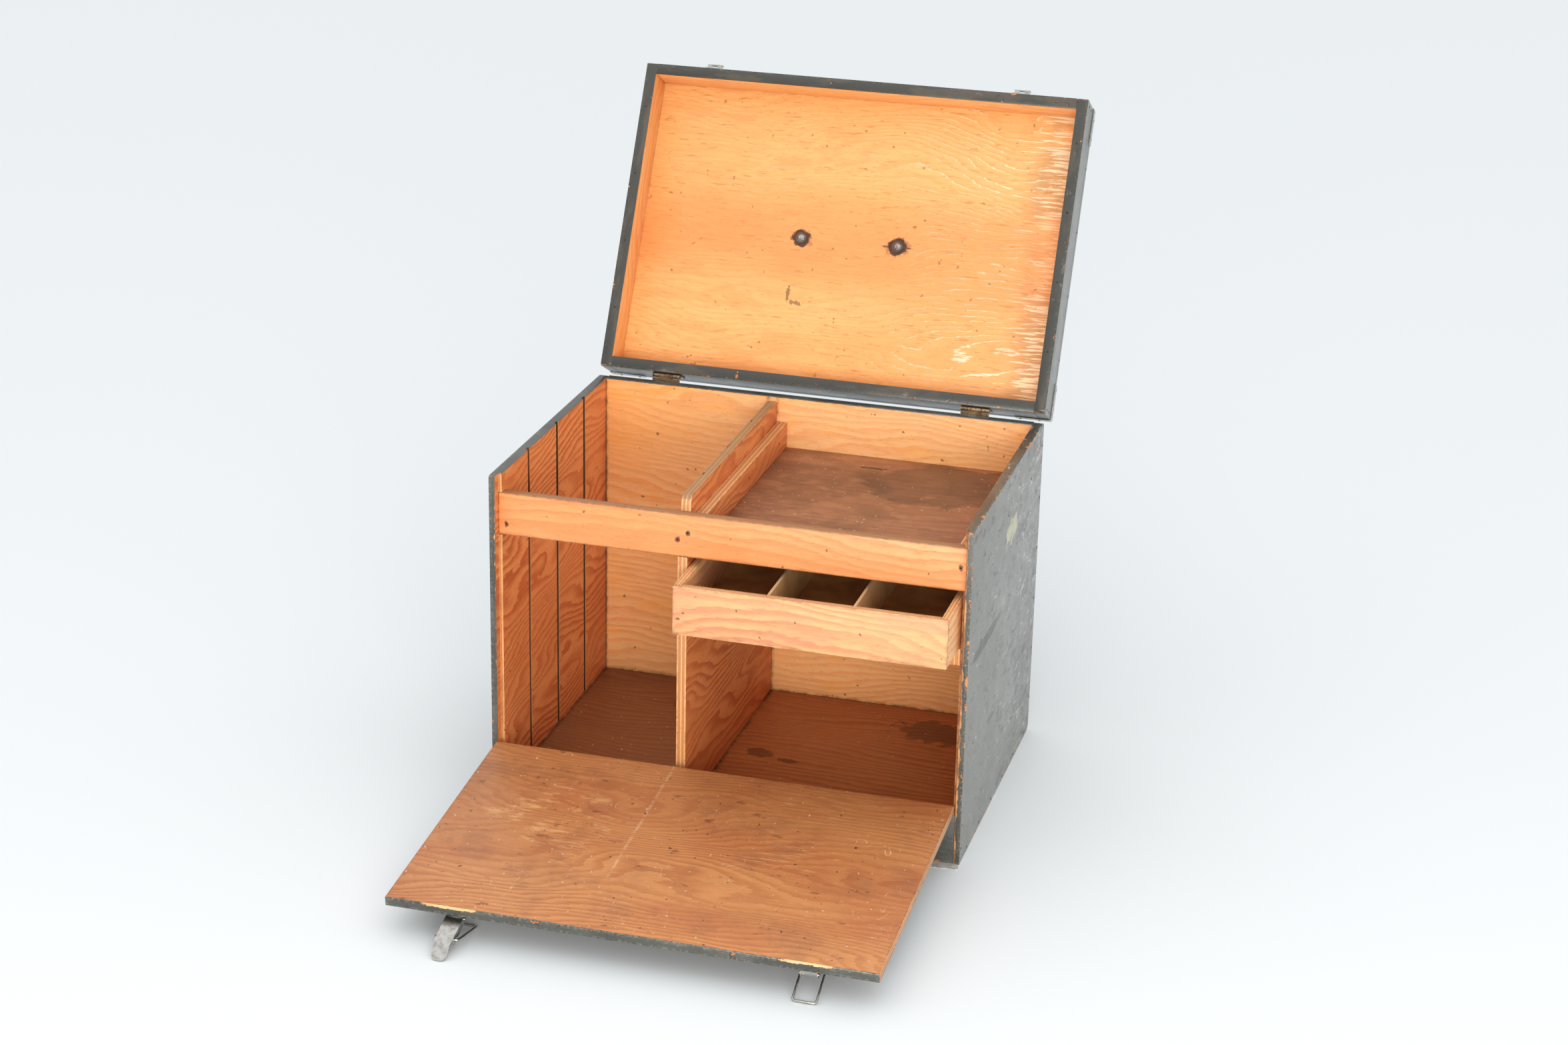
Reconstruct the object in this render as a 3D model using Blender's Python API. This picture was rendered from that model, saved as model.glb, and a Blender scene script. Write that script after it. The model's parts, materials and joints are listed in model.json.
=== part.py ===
"""Plywood studio kit case: lift-up lid, fall-front door with draw latches, and a drawer beside an open bay.

Metres, +Z up, +X to the right and +Y to the back. The origin is on the underside of the case, at its middle.
Every piece is laid out in the closed case. Each moving group hangs on an empty on its joint's axis, and the
empty's turn or travel opens it.
"""

import math
from collections import namedtuple

import bmesh
import bpy
from mathutils import Matrix, Vector

# Driving sizes of the case.
CASE_WIDTH = 0.610
CASE_DEPTH = 0.422
CASE_HEIGHT = 0.437
LID_HEIGHT = 0.060
PLY = 0.0127  # walls, bottom and divider
DOOR_PLY = 0.0122
FIT = 0.0003  # gap between pieces that touch
SINK = 0.001  # how far joined shapes run into each other
HAIR = 0.0001  # step that keeps joined faces from lying in one plane
CLEAR = 0.02  # how far a cutter reaches past the wood
EDGE_ROUND = 0.0009  # worn arris on every board
CORNER_ROUND = 0.0045
FOOT_ROUND = 0.0115  # worn lower back edge

# Front of the case.
SIDE_LIP = 0.0078  # side wall left outside the door
RABBET_DEPTH = 0.0127  # the door lies in this step
DOOR_SIDE_GAP = 0.0006
DOOR_TOP_GAP = 0.0010
DOOR_FOOT_GAP = 0.0015
FRONT_BOARD_HEIGHT = 0.066
RAIL_THICK = 0.0127
RAIL_BELOW_RIM = 0.025
RAIL_HEIGHT = 0.0555

# Inside of the case.
DIVIDER_RIGHT = -0.0523  # right face of the divider
DIVIDER_DROP = 0.006  # below the case's rim
DIVIDER_ROUND = 0.012
GROOVE_WIDTH = 0.0082
GROOVE_DEPTH = 0.0032
GROOVE_FIRST = 0.109  # from the front face to the first groove
GROOVE_PITCH = 0.1055
GROOVE_COUNT = 3
SHELF_THICK = 0.006
SHELF_BELOW_RIM = 0.0693
CLEAT_THICK = 0.014
CLEAT_HEIGHT = 0.0345
RUNNER_THICK = 0.014
RUNNER_HEIGHT = 0.022

# Drawer.
DRAWER_SIDE_GAP = 0.0025
DRAWER_HEIGHT = 0.063
DRAWER_BELOW_SHELF = 0.0167
DRAWER_BACK_GAP = 0.0156  # behind the drawer when home
DRAWER_BOARD = 0.0095
DRAWER_LAP = 0.0035  # the front's end tongue over each side
DRAWER_SHEET = 0.0032  # hardboard bottom and partitions
DRAWER_SHEET_UP = 0.006  # bottom sheet above the sides' lower edge
DRAWER_GROOVE = 0.004
DRAWER_BACK_DROP = 0.006
DRAWER_HOME_GAP = 0.001  # between the rabbet and the drawer's front when home
DRAWER_PULL = 0.0677  # how far it stands open
PARTITION_COUNT = 2
PARTITION_DROP = 0.001

# Lid.
LID_GAP = 0.001
LID_RAIL = 0.0146
LID_PANEL = 0.0116
LID_OPEN = math.radians(118.0)
LID_AXIS_RISE = 0.0067  # hinge axis above the case's rim
CAP_LEG = 0.050
CAP_SKIRT = 0.014
CAP_METAL = 0.0010
CAP_ROUND = 0.003
CAP_ARC = 0.039
HANDLE_SPAN = 0.134  # between the bolts
HANDLE_RISE = 0.032
HANDLE_BAR = 0.005
HANDLE_BEND = 0.013
HANDLE_FOOT = 0.0095
HANDLE_FOOT_THICK = 0.003
HANDLE_BITE = 0.001  # of the bar into each foot
BOLT_SHANK = 0.0024
BOLT_HEAD = 0.0046
BOLT_HEAD_RISE = 0.0026
BOLT_SLOT = 0.0011
BOLT_BITE = 0.008
WASHER = 0.0072
WASHER_THICK = 0.0012
RECESS = 0.0115
RECESS_DEPTH = 0.0020
HOLE_PLAY = 0.0004

# Door: its free edge stands this far above the floor when the door lies open on its latch.
DOOR_EDGE_REST = 0.0335

# Butt hinges, on the outer faces.
HINGE_X = 0.212
HINGE_LENGTH = 0.038
LEAF_REACH = 0.024
LEAF_METAL = 0.0015
KNUCKLE = 0.0032
PIN = 0.0015
PIN_PLAY = 0.0003
KNUCKLE_GAP = 0.0004
MIDDLE_KNUCKLE = 0.019

# Draw latches. "Up" runs along the door towards the lid, "out" away from its outer face.
LATCH_X = 0.213
LATCH_METAL = 0.0012
PIVOT_DOWN = 0.010  # lever's pin below the door's free edge
PIVOT_OUT = 0.0085
LEVER_PIN = 0.0016
LEVER_PIN_HEAD = 0.0024
LEVER_PIN_HEAD_THICK = 0.0008
BASE_WIDTH = 0.019
BASE_LOW = 0.054
CURL = 0.0034  # base's end rolled round the pin
CURL_WRAP = math.radians(210)
LEVER_WIDTH = 0.0215
LEVER_TOP = 0.0044  # flanks past the pin
LEVER_WEB_START = 0.0044  # the web stops this far short of the pin
LEVER_WEB_OUT = 0.0035  # web's inner face past the pin
LEVER_SKIRT = 0.0048
LEVER_CHANNEL = 0.041
FINGER_END_HALF = 0.0035
FINGER_CURVE = (  # back towards the door and down, from the end of the straight web
    (0.0010, 0.004),
    (0.0040, 0.010),
    (0.0072, 0.0155),
    (0.0085, 0.019),
    (0.0092, 0.022),
    (0.0094, 0.0235),
)
LEVER_CORNER = 0.004
BAIL_ARM = 0.034  # lever's pin to the bail's pivot
BAIL_LENGTH = 0.063
BAIL_WIRE = 0.0015
BAIL_SIDE_GAP = 0.0017  # wire's side to the lever's flank
BAIL_CORNER = 0.0034
BAIL_STUB_PLAY = 0.0007
BAIL_PLAY = 0.0004
BAIL_HOOK_LEAN = math.radians(3.0)  # towards the case when it holds the strike
LEVER_REST_SLOPE = math.radians(18.0)  # of the open lever, below the horizontal
FLOOR_GAP = 0.0006
STRIKE_WIDTH = 0.021
STRIKE_LOW = 0.005
STRIKE_HIGH = 0.029
STRIKE_HOOK_OUT = 0.0086
STRIKE_LEG_GAP = 0.007
STRIKE_LEG_DEEP = 0.0015
STRIKE_STEP = 0.0003
STRIKE_LIP_RISE = 0.0046

# Corner plates let in under the front corners, and the right one's flattened lip.
PLATE = 0.0012
PLATE_LONG = 0.040
PLATE_DEEP = 0.026
LIP_REACH = 0.017
LIP_ROOT = 0.006
LIP_FLARE = 0.004
PLATE_INSET = 0.002
LIP_WIDE = 0.030

# Places worked out from the sizes above.
HALF = CASE_WIDTH / 2
FRONT = -CASE_DEPTH / 2
BACK = CASE_DEPTH / 2
INNER = HALF - PLY
RABBET_WALL = HALF - SIDE_LIP
RABBET_FLOOR = FRONT + RABBET_DEPTH
RAIL_BACK = RABBET_FLOOR + RAIL_THICK
RAIL_TOP = CASE_HEIGHT - RAIL_BELOW_RIM
RAIL_BOTTOM = RAIL_TOP - RAIL_HEIGHT
SHELF_TOP = CASE_HEIGHT - SHELF_BELOW_RIM
WALL_BACK = BACK - PLY
RIM = CASE_HEIGHT + LID_GAP
LID_TOP = RIM + LID_HEIGHT
LID_CEILING = LID_TOP - LID_PANEL
AXIS_OUT = KNUCKLE + FIT
DOOR_HALF = RABBET_WALL - DOOR_SIDE_GAP
DOOR_FOOT = FRONT_BOARD_HEIGHT + DOOR_FOOT_GAP
DOOR_TOP = CASE_HEIGHT - DOOR_TOP_GAP
DOOR_AXIS_Y = FRONT - AXIS_OUT
DOOR_AXIS_Z = FRONT_BOARD_HEIGHT + DOOR_FOOT_GAP / 2
LID_AXIS_Y = BACK + AXIS_OUT
LID_AXIS_Z = CASE_HEIGHT + LID_AXIS_RISE
PIVOT_Y = FRONT - PIVOT_OUT
PIVOT_Z = DOOR_TOP - PIVOT_DOWN
BAIL_HALF = LEVER_WIDTH / 2 + BAIL_SIDE_GAP + BAIL_WIRE
DIVIDER_LEFT = DIVIDER_RIGHT - PLY
DRAWER_LEFT = DIVIDER_RIGHT + DRAWER_SIDE_GAP
DRAWER_RIGHT = INNER - DRAWER_SIDE_GAP
DRAWER_FRONT = RABBET_FLOOR + DRAWER_HOME_GAP
DRAWER_LENGTH = WALL_BACK - DRAWER_BACK_GAP - DRAWER_FRONT
DRAWER_TOP = SHELF_TOP - SHELF_THICK - DRAWER_BELOW_SHELF
DRAWER_BOTTOM = DRAWER_TOP - DRAWER_HEIGHT
SHEET_LOW = DRAWER_BOTTOM + DRAWER_SHEET_UP
HANDLE_X = HANDLE_SPAN / 2

# The door's outer face is AXIS_OUT behind the hinge axis. The height of the open door's edge sets its slope.
DOOR_REACH = DOOR_TOP - DOOR_AXIS_Z
DOOR_SLOPE = math.asin((DOOR_AXIS_Z + AXIS_OUT - DOOR_EDGE_REST) / DOOR_REACH)
DOOR_OPEN = math.radians(90) + DOOR_SLOPE
LEVER_OPEN = math.radians(180) - (LEVER_REST_SLOPE - DOOR_SLOPE)

Group = namedtuple("Group", "empty origin")


def clear_scene():
    for obj in list(bpy.data.objects):
        bpy.data.objects.remove(obj)


def make_material(name, colour, roughness, metallic=0.0):
    made = bpy.data.materials.new(name)
    made.use_nodes = True
    shader = made.node_tree.nodes["Principled BSDF"]
    shader.inputs["Base Color"].default_value = (*colour, 1.0)
    shader.inputs["Roughness"].default_value = roughness
    shader.inputs["Metallic"].default_value = metallic
    return made


def make_group(name, origin, parent=None, turn=0.0, shift=(0.0, 0.0, 0.0)):
    """An empty at origin, a place in the closed case, turned about X or shifted to where the group stands."""
    empty = bpy.data.objects.new(name, None)
    bpy.context.collection.objects.link(empty)
    origin = Vector(origin)
    base = origin
    if parent:
        empty.parent = parent.empty
        base = origin - parent.origin
    empty.location = base + Vector(shift)
    empty.rotation_euler.x = turn
    return Group(empty, origin)


def add_object(name, mesh_work, material, group=None, smooth=False, edge=0.0, edge_steps=2):
    """An object from a bmesh laid out in the closed case. With an edge, its sharp arrises are rounded."""
    bmesh.ops.recalc_face_normals(mesh_work, faces=mesh_work.faces)
    if group:
        bmesh.ops.translate(mesh_work, verts=mesh_work.verts, vec=-group.origin)
    mesh = bpy.data.meshes.new(name)
    mesh_work.to_mesh(mesh)
    mesh_work.free()
    mesh.materials.append(material)
    if smooth:
        mesh.shade_smooth()
        mesh.set_sharp_from_angle(angle=math.radians(40))
    obj = bpy.data.objects.new(name, mesh)
    bpy.context.collection.objects.link(obj)
    if group:
        obj.parent = group.empty
    if edge:
        bevel = obj.modifiers.new("edge", "BEVEL")
        bevel.width = edge
        bevel.segments = edge_steps
        bevel.limit_method = "ANGLE"
        bevel.angle_limit = math.radians(40)
    return obj


def box_mesh(low, high):
    work = bmesh.new()
    bmesh.ops.create_cube(work, size=1.0)
    low, high = Vector(low), Vector(high)
    bmesh.ops.scale(work, verts=work.verts, vec=high - low)
    bmesh.ops.translate(work, verts=work.verts, vec=(low + high) / 2)
    return work


def prism_mesh(outline, axis, start, end):
    """An outline in the plane across axis, run from start to end along it."""
    places = {
        "X": lambda a, b, run: (run, a, b),
        "Y": lambda a, b, run: (a, run, b),
        "Z": lambda a, b, run: (a, b, run),
    }
    place = places[axis]
    work = bmesh.new()
    near = [work.verts.new(place(a, b, start)) for a, b in outline]
    far = [work.verts.new(place(a, b, end)) for a, b in outline]
    work.faces.new(near)
    work.faces.new(reversed(far))
    count = len(outline)
    for i in range(count):
        j = (i + 1) % count
        work.faces.new((near[i], far[i], far[j], near[j]))
    return work


def rounded(corners, steps=5):
    """Outline through corners given as (a, b, radius), each rounded by an arc."""
    points = []
    count = len(corners)
    for i, (a, b, radius) in enumerate(corners):
        here = Vector((a, b))
        if radius == 0:
            points.append(tuple(here))
            continue
        before = (Vector(corners[i - 1][:2]) - here).normalized()
        after = (Vector(corners[(i + 1) % count][:2]) - here).normalized()
        half = before.angle(after) / 2
        centre = here + (before + after).normalized() * radius / math.sin(half)
        start = here + before * radius / math.tan(half) - centre
        turn = -2 * (math.pi / 2 - half) * (1 if before.cross(after) > 0 else -1)
        for k in range(steps + 1):
            angle = turn * k / steps
            turned = Matrix.Rotation(angle, 2) @ start
            points.append(tuple(centre + turned))
    return points


def turned_mesh(profile, axis, centre, steps=20):
    """A solid of revolution: profile is (radius, place along the axis), from one end to the other."""
    work = bmesh.new()
    line = [work.verts.new((radius, 0.0, along)) for radius, along in profile]
    for first, second in zip(line, line[1:]):
        work.edges.new((first, second))
    bmesh.ops.spin(
        work,
        geom=work.verts[:] + work.edges[:],
        cent=(0, 0, 0),
        axis=(0, 0, 1),
        angle=2 * math.pi,
        steps=steps,
    )
    bmesh.ops.remove_doubles(work, verts=work.verts, dist=1e-6)
    tilts = {"X": Matrix.Rotation(math.pi / 2, 3, "Y"), "Z": Matrix.Identity(3)}
    bmesh.ops.rotate(work, verts=work.verts, cent=(0, 0, 0), matrix=tilts[axis])
    bmesh.ops.translate(work, verts=work.verts, vec=centre)
    return work


def rod_mesh(radius, axis, centre, half_length, steps=20):
    profile = [(0, -half_length), (radius, -half_length), (radius, half_length), (0, half_length)]
    return turned_mesh(profile, axis, centre, steps)


def tube_mesh(path, radius, sides=10):
    """A round bar of this radius along path, closed at both ends. The path is flat or turns gently."""
    work = bmesh.new()
    points = [Vector(p) for p in path]
    rings = []
    across = None
    for i, point in enumerate(points):
        before = points[max(i - 1, 0)]
        after = points[min(i + 1, len(points) - 1)]
        along = (after - before).normalized()
        if across is None:
            across = along.orthogonal().normalized()
        across = (across - along * across.dot(along)).normalized()
        other = along.cross(across)
        ring = []
        for k in range(sides):
            angle = 2 * math.pi * k / sides
            ring.append(work.verts.new(point + radius * (across * math.cos(angle) + other * math.sin(angle))))
        rings.append(ring)
    for first, second in zip(rings, rings[1:]):
        for k in range(sides):
            n = (k + 1) % sides
            work.faces.new((first[k], first[n], second[n], second[k]))
    work.faces.new(reversed(rings[0]))
    work.faces.new(rings[-1])
    return work


def bent_path(corners, radii, steps=6):
    """Points along straight runs between corners, with each inner corner bent to its own radius."""
    points = [Vector(corners[0])]
    for radius, before, here, after in zip(radii, corners, corners[1:], corners[2:]):
        before, here, after = Vector(before), Vector(here), Vector(after)
        back = (before - here).normalized()
        on = (after - here).normalized()
        half = back.angle(on) / 2
        centre = here + (back + on).normalized() * radius / math.sin(half)
        start = here + back * radius / math.tan(half) - centre
        turn_axis = back.cross(start)
        for k in range(steps + 1):
            angle = 2 * (math.pi / 2 - half) * k / steps
            points.append(centre + Matrix.Rotation(angle, 3, turn_axis) @ start)
    points.append(Vector(corners[-1]))
    return points


def ribbon_mesh(path, halves, thick):
    """A bent strip: path is (y, z) at its middle, halves its half width along X at each point."""
    work = bmesh.new()
    points = [Vector(p) for p in path]
    stations = []
    for i, point in enumerate(points):
        along = (points[min(i + 1, len(points) - 1)] - points[max(i - 1, 0)]).normalized()
        normal = Vector((-along.y, along.x)) * thick / 2
        ring = []
        for side, face in ((-1, -1), (1, -1), (1, 1), (-1, 1)):
            at = point + normal * face
            ring.append(work.verts.new((side * halves[i], at.x, at.y)))
        stations.append(ring)
    for first, second in zip(stations, stations[1:]):
        for k in range(4):
            n = (k + 1) % 4
            work.faces.new((first[k], first[n], second[n], second[k]))
    work.faces.new(reversed(stations[0]))
    work.faces.new(stations[-1])
    return work


def use_helper(obj, helper, operation):
    """Boolean of obj with a helper object that isn't part of the case."""
    helper.hide_render = True
    helper.display_type = "WIRE"
    step = obj.modifiers.new(operation.lower(), "BOOLEAN")
    step.operation = operation
    step.object = helper
    step.solver = "EXACT"


def cut(obj, work, group=None):
    helper = add_object(obj.name + "_cutter", work, METAL_DARK, group)
    use_helper(obj, helper, "DIFFERENCE")


def join(obj, work, group=None):
    helper = add_object(obj.name + "_joined", work, METAL_DARK, group)
    use_helper(obj, helper, "UNION")


def board(name, low, high, material, group=None):
    return add_object(name, box_mesh(low, high), material, group, edge=EDGE_ROUND)


def shifted(work, vec):
    bmesh.ops.translate(work, verts=work.verts, vec=vec)
    return work


clear_scene()

PAINTED_PLY = make_material("painted_ply", (0.115, 0.125, 0.120), 0.62)
PALE_PLY = make_material("pale_ply", (0.78, 0.45, 0.18), 0.5)
RED_PLY = make_material("red_ply", (0.47, 0.14, 0.04), 0.5)
BROWN_PLY = make_material("brown_ply", (0.55, 0.25, 0.09), 0.5)
STAINED_PLY = make_material("stained_ply", (0.13, 0.045, 0.018), 0.6)
LID_PLY = make_material("lid_ply", (0.85, 0.52, 0.22), 0.5)
RAW_PINE = make_material("raw_pine", (0.80, 0.56, 0.34), 0.6)
HARDBOARD = make_material("hardboard", (0.34, 0.22, 0.11), 0.7)
DARK_BOARD = make_material("dark_board", (0.10, 0.055, 0.03), 0.7)
NICKEL = make_material("nickel", (0.62, 0.61, 0.58), 0.34, 1.0)
BRASSED_STEEL = make_material("brassed_steel", (0.50, 0.38, 0.22), 0.42, 1.0)
METAL_DARK = make_material("metal_dark", (0.12, 0.12, 0.12), 0.5, 1.0)

DRAWER = make_group("drawer_travel", (0, 0, 0), shift=(0, -DRAWER_PULL, 0))
LID = make_group("lid_axis", (0, LID_AXIS_Y, LID_AXIS_Z), turn=-LID_OPEN)
DOOR = make_group("door_axis", (0, DOOR_AXIS_Y, DOOR_AXIS_Z), turn=DOOR_OPEN)


def side_panel(name, side):
    outer = side * HALF
    inner = side * INNER
    outline = rounded([
        (FRONT, 0, 0),
        (BACK, 0, FOOT_ROUND),
        (BACK, CASE_HEIGHT, CORNER_ROUND),
        (FRONT, CASE_HEIGHT, CORNER_ROUND),
    ])
    panel = add_object(name, prism_mesh(outline, "X", inner, outer), PAINTED_PLY, edge=EDGE_ROUND)
    wall = side * RABBET_WALL
    past = side * (INNER - CLEAR)
    xs = sorted((wall, past))
    cut(panel, box_mesh((xs[0], FRONT - CLEAR, -CLEAR), (xs[1], RABBET_FLOOR, CASE_HEIGHT + CLEAR)))
    low = (xs[0], RABBET_FLOOR - SINK, RAIL_BOTTOM - FIT)
    high = (xs[1], RAIL_BACK + FIT, RAIL_TOP + FIT)
    cut(panel, box_mesh(low, high))
    cut(panel, plate_pocket(side))
    return panel


def groove_places():
    return [FRONT + GROOVE_FIRST + GROOVE_PITCH * i for i in range(GROOVE_COUNT)]


def cut_grooves(panel, face, into, top):
    """Upright grooves in the face at x = face, cut towards into, for drop-in partitions."""
    xs = sorted((face + into * GROOVE_DEPTH, face - into * CLEAR))
    for y in groove_places():
        low = (xs[0], y - GROOVE_WIDTH / 2, PLY + FIT)
        high = (xs[1], y + GROOVE_WIDTH / 2, top + CLEAR)
        cut(panel, box_mesh(low, high))


def plate_outline(side, play):
    """Corner plate under a front corner, as corners in X and Y with a play all round."""
    xs = sorted((side * (HALF - PLATE_INSET + play), side * (HALF - PLATE_LONG - play)))
    return xs, (FRONT + PLATE_INSET - play, FRONT + PLATE_DEEP + play)


def plate_pocket(side):
    xs, ys = plate_outline(side, FIT)
    return box_mesh((xs[0], FRONT - CLEAR, -CLEAR), (xs[1], ys[1], PLATE + FIT))


def build_case():
    left = side_panel("left_side_panel", -1)
    cut_grooves(left, -INNER, -1, CASE_HEIGHT)
    side_panel("right_side_panel", 1)

    across = INNER - FIT
    outline = rounded([
        (WALL_BACK, 0, 0),
        (BACK, 0, FOOT_ROUND),
        (BACK, CASE_HEIGHT, 0),
        (WALL_BACK, CASE_HEIGHT, 0),
    ])
    add_object("back_panel", prism_mesh(outline, "X", -across, across), PAINTED_PLY, edge=EDGE_ROUND)
    bottom = board(
        "bottom_panel",
        (-across, RABBET_FLOOR + FIT, 0),
        (across, WALL_BACK - FIT, PLY),
        STAINED_PLY,
    )
    front_across = RABBET_WALL - FIT
    foot = board(
        "bottom_front_board",
        (-front_across, FRONT, 0),
        (front_across, RABBET_FLOOR, FRONT_BOARD_HEIGHT),
        PAINTED_PLY,
    )
    for side in (-1, 1):
        cut(bottom, plate_pocket(side))
        cut(foot, plate_pocket(side))
    board(
        "front_rail",
        (-front_across, RABBET_FLOOR + FIT, RAIL_BOTTOM),
        (front_across, RAIL_BACK, RAIL_TOP),
        PALE_PLY,
    )


def build_inside():
    top = CASE_HEIGHT - DIVIDER_DROP
    behind_rail = RAIL_BACK + FIT
    outline = rounded([
        (RABBET_FLOOR + FIT, PLY + FIT, 0),
        (WALL_BACK - FIT, PLY + FIT, 0),
        (WALL_BACK - FIT, top, DIVIDER_ROUND / 2),
        (behind_rail, top, DIVIDER_ROUND),
        (behind_rail, RAIL_BOTTOM - FIT, 0),
        (RABBET_FLOOR + FIT, RAIL_BOTTOM - FIT, 0),
    ])
    divider = add_object(
        "divider_panel", prism_mesh(outline, "X", DIVIDER_LEFT, DIVIDER_RIGHT), RED_PLY, edge=EDGE_ROUND
    )
    cut_grooves(divider, DIVIDER_LEFT, 1, top)

    bay_left = DIVIDER_RIGHT + FIT
    bay_right = INNER - FIT
    bay_back = WALL_BACK - FIT
    board(
        "shelf_panel",
        (bay_left, behind_rail, SHELF_TOP - SHELF_THICK),
        (bay_right, bay_back, SHELF_TOP),
        STAINED_PLY,
    )
    cleat_low = SHELF_TOP + FIT
    cleat_high = cleat_low + CLEAT_HEIGHT
    board(
        "shelf_cleat_left",
        (bay_left, behind_rail, cleat_low),
        (bay_left + CLEAT_THICK, bay_back, cleat_high),
        RED_PLY,
    )
    board(
        "shelf_cleat_right",
        (bay_right - CLEAT_THICK, behind_rail, cleat_low),
        (bay_right, bay_back, cleat_high),
        RED_PLY,
    )
    runner_high = DRAWER_BOTTOM - FIT
    runner_low = runner_high - RUNNER_HEIGHT
    runner_front = RABBET_FLOOR + FIT
    board(
        "drawer_runner_left",
        (bay_left, runner_front, runner_low),
        (bay_left + RUNNER_THICK, bay_back, runner_high),
        PALE_PLY,
    )
    board(
        "drawer_runner_right",
        (bay_right - RUNNER_THICK, runner_front, runner_low),
        (bay_right, bay_back, runner_high),
        PALE_PLY,
    )


def build_corner_plates():
    for name, side in (("corner_plate_left", -1), ("corner_plate_right", 1)):
        xs, ys = plate_outline(side, 0)
        plate = add_object(name, box_mesh((xs[0], ys[0], 0), (xs[1], ys[1], PLATE)), NICKEL)
        if side < 0:
            continue
        lip_left = xs[1] - LIP_WIDE
        outline = rounded([
            (lip_left, FRONT + LIP_ROOT, 0),
            (lip_left - LIP_FLARE, FRONT - LIP_REACH, LIP_FLARE / 2),
            (xs[1] + LIP_FLARE, FRONT - LIP_REACH + LIP_FLARE, LIP_FLARE / 2),
            (xs[1] - PLATE_INSET, FRONT + LIP_ROOT, 0),
        ])
        join(plate, prism_mesh(outline, "Z", HAIR, PLATE - HAIR))


def build_drawer():
    lap_left = DRAWER_LEFT + DRAWER_BOARD
    lap_right = DRAWER_RIGHT - DRAWER_BOARD
    front_back = DRAWER_FRONT + DRAWER_BOARD
    side_front = DRAWER_FRONT + DRAWER_LAP + FIT
    end = DRAWER_FRONT + DRAWER_LENGTH
    outline = [
        (DRAWER_LEFT, DRAWER_FRONT),
        (DRAWER_RIGHT, DRAWER_FRONT),
        (DRAWER_RIGHT, DRAWER_FRONT + DRAWER_LAP),
        (lap_right - FIT, DRAWER_FRONT + DRAWER_LAP),
        (lap_right - FIT, front_back),
        (lap_left + FIT, front_back),
        (lap_left + FIT, DRAWER_FRONT + DRAWER_LAP),
        (DRAWER_LEFT, DRAWER_FRONT + DRAWER_LAP),
    ]
    front_work = prism_mesh(outline, "Z", DRAWER_BOTTOM, DRAWER_TOP)
    front = add_object("drawer_front", front_work, RAW_PINE, DRAWER, edge=EDGE_ROUND / 2)
    left = board(
        "drawer_side_left",
        (DRAWER_LEFT, side_front, DRAWER_BOTTOM),
        (lap_left, end, DRAWER_TOP),
        RAW_PINE,
        DRAWER,
    )
    right = board(
        "drawer_side_right",
        (lap_right, side_front, DRAWER_BOTTOM),
        (DRAWER_RIGHT, end, DRAWER_TOP),
        RAW_PINE,
        DRAWER,
    )
    sheet_top = SHEET_LOW + DRAWER_SHEET
    back_front = end - DRAWER_BOARD
    back = board(
        "drawer_back",
        (lap_left + FIT, back_front, sheet_top + FIT),
        (lap_right - FIT, end, DRAWER_TOP - DRAWER_BACK_DROP),
        RAW_PINE,
        DRAWER,
    )
    into = DRAWER_GROOVE - FIT
    low = Vector((lap_left - into, front_back - into, SHEET_LOW))
    high = Vector((lap_right + into, end - FIT, sheet_top))
    add_object("drawer_bottom", box_mesh(low, high), DARK_BOARD, DRAWER)
    play = Vector((FIT, FIT, FIT))
    for piece in (front, left, right):
        past = high + play + Vector((0, CLEAR, 0))
        cut(piece, box_mesh(low - play, past), DRAWER)

    inside = lap_right - lap_left
    for i in range(PARTITION_COUNT):
        x = lap_left + inside * (i + 1) / (PARTITION_COUNT + 1)
        low = Vector((x - DRAWER_SHEET / 2, front_back - DRAWER_GROOVE, sheet_top + FIT))
        high = Vector((x + DRAWER_SHEET / 2, back_front + DRAWER_GROOVE, DRAWER_TOP - PARTITION_DROP))
        add_object(f"drawer_partition_{i + 1}", box_mesh(low, high), HARDBOARD, DRAWER)
        slot_low = low - play - Vector((0, 0, SINK))
        slot_high = high + play + Vector((0, 0, CLEAR))
        for piece in (front, back):
            cut(piece, box_mesh(slot_low, slot_high), DRAWER)


def corner_cap(name, side, end):
    """Pressed cap over a top corner of the lid: side is the sign of X, end the sign of Y."""
    x_edge = side * HALF
    y_edge = end * CASE_DEPTH / 2
    wall = FIT + CAP_METAL

    def span(edge, sign, near, far):
        return sorted((edge - sign * near, edge + sign * far))

    xs = span(x_edge, side, CAP_LEG, wall)
    ys = span(y_edge, end, CAP_LEG, wall)
    low = (xs[0], ys[0], LID_TOP - CAP_SKIRT)
    high = (xs[1], ys[1], LID_TOP + wall)
    cap = add_object(name, box_mesh(low, high), NICKEL, LID, smooth=True, edge=CAP_ROUND, edge_steps=3)
    xs = span(x_edge, side, CAP_LEG + CLEAR, FIT)
    ys = span(y_edge, end, CAP_LEG + CLEAR, FIT)
    cut(cap, box_mesh((xs[0], ys[0], LID_TOP - CAP_SKIRT - CLEAR), (xs[1], ys[1], LID_TOP + FIT)), LID)
    arc_at = (x_edge - side * CAP_LEG, y_edge - end * CAP_LEG, LID_TOP)
    cut(cap, rod_mesh(CAP_ARC, "Z", arc_at, 0.012, 32), LID)


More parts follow.
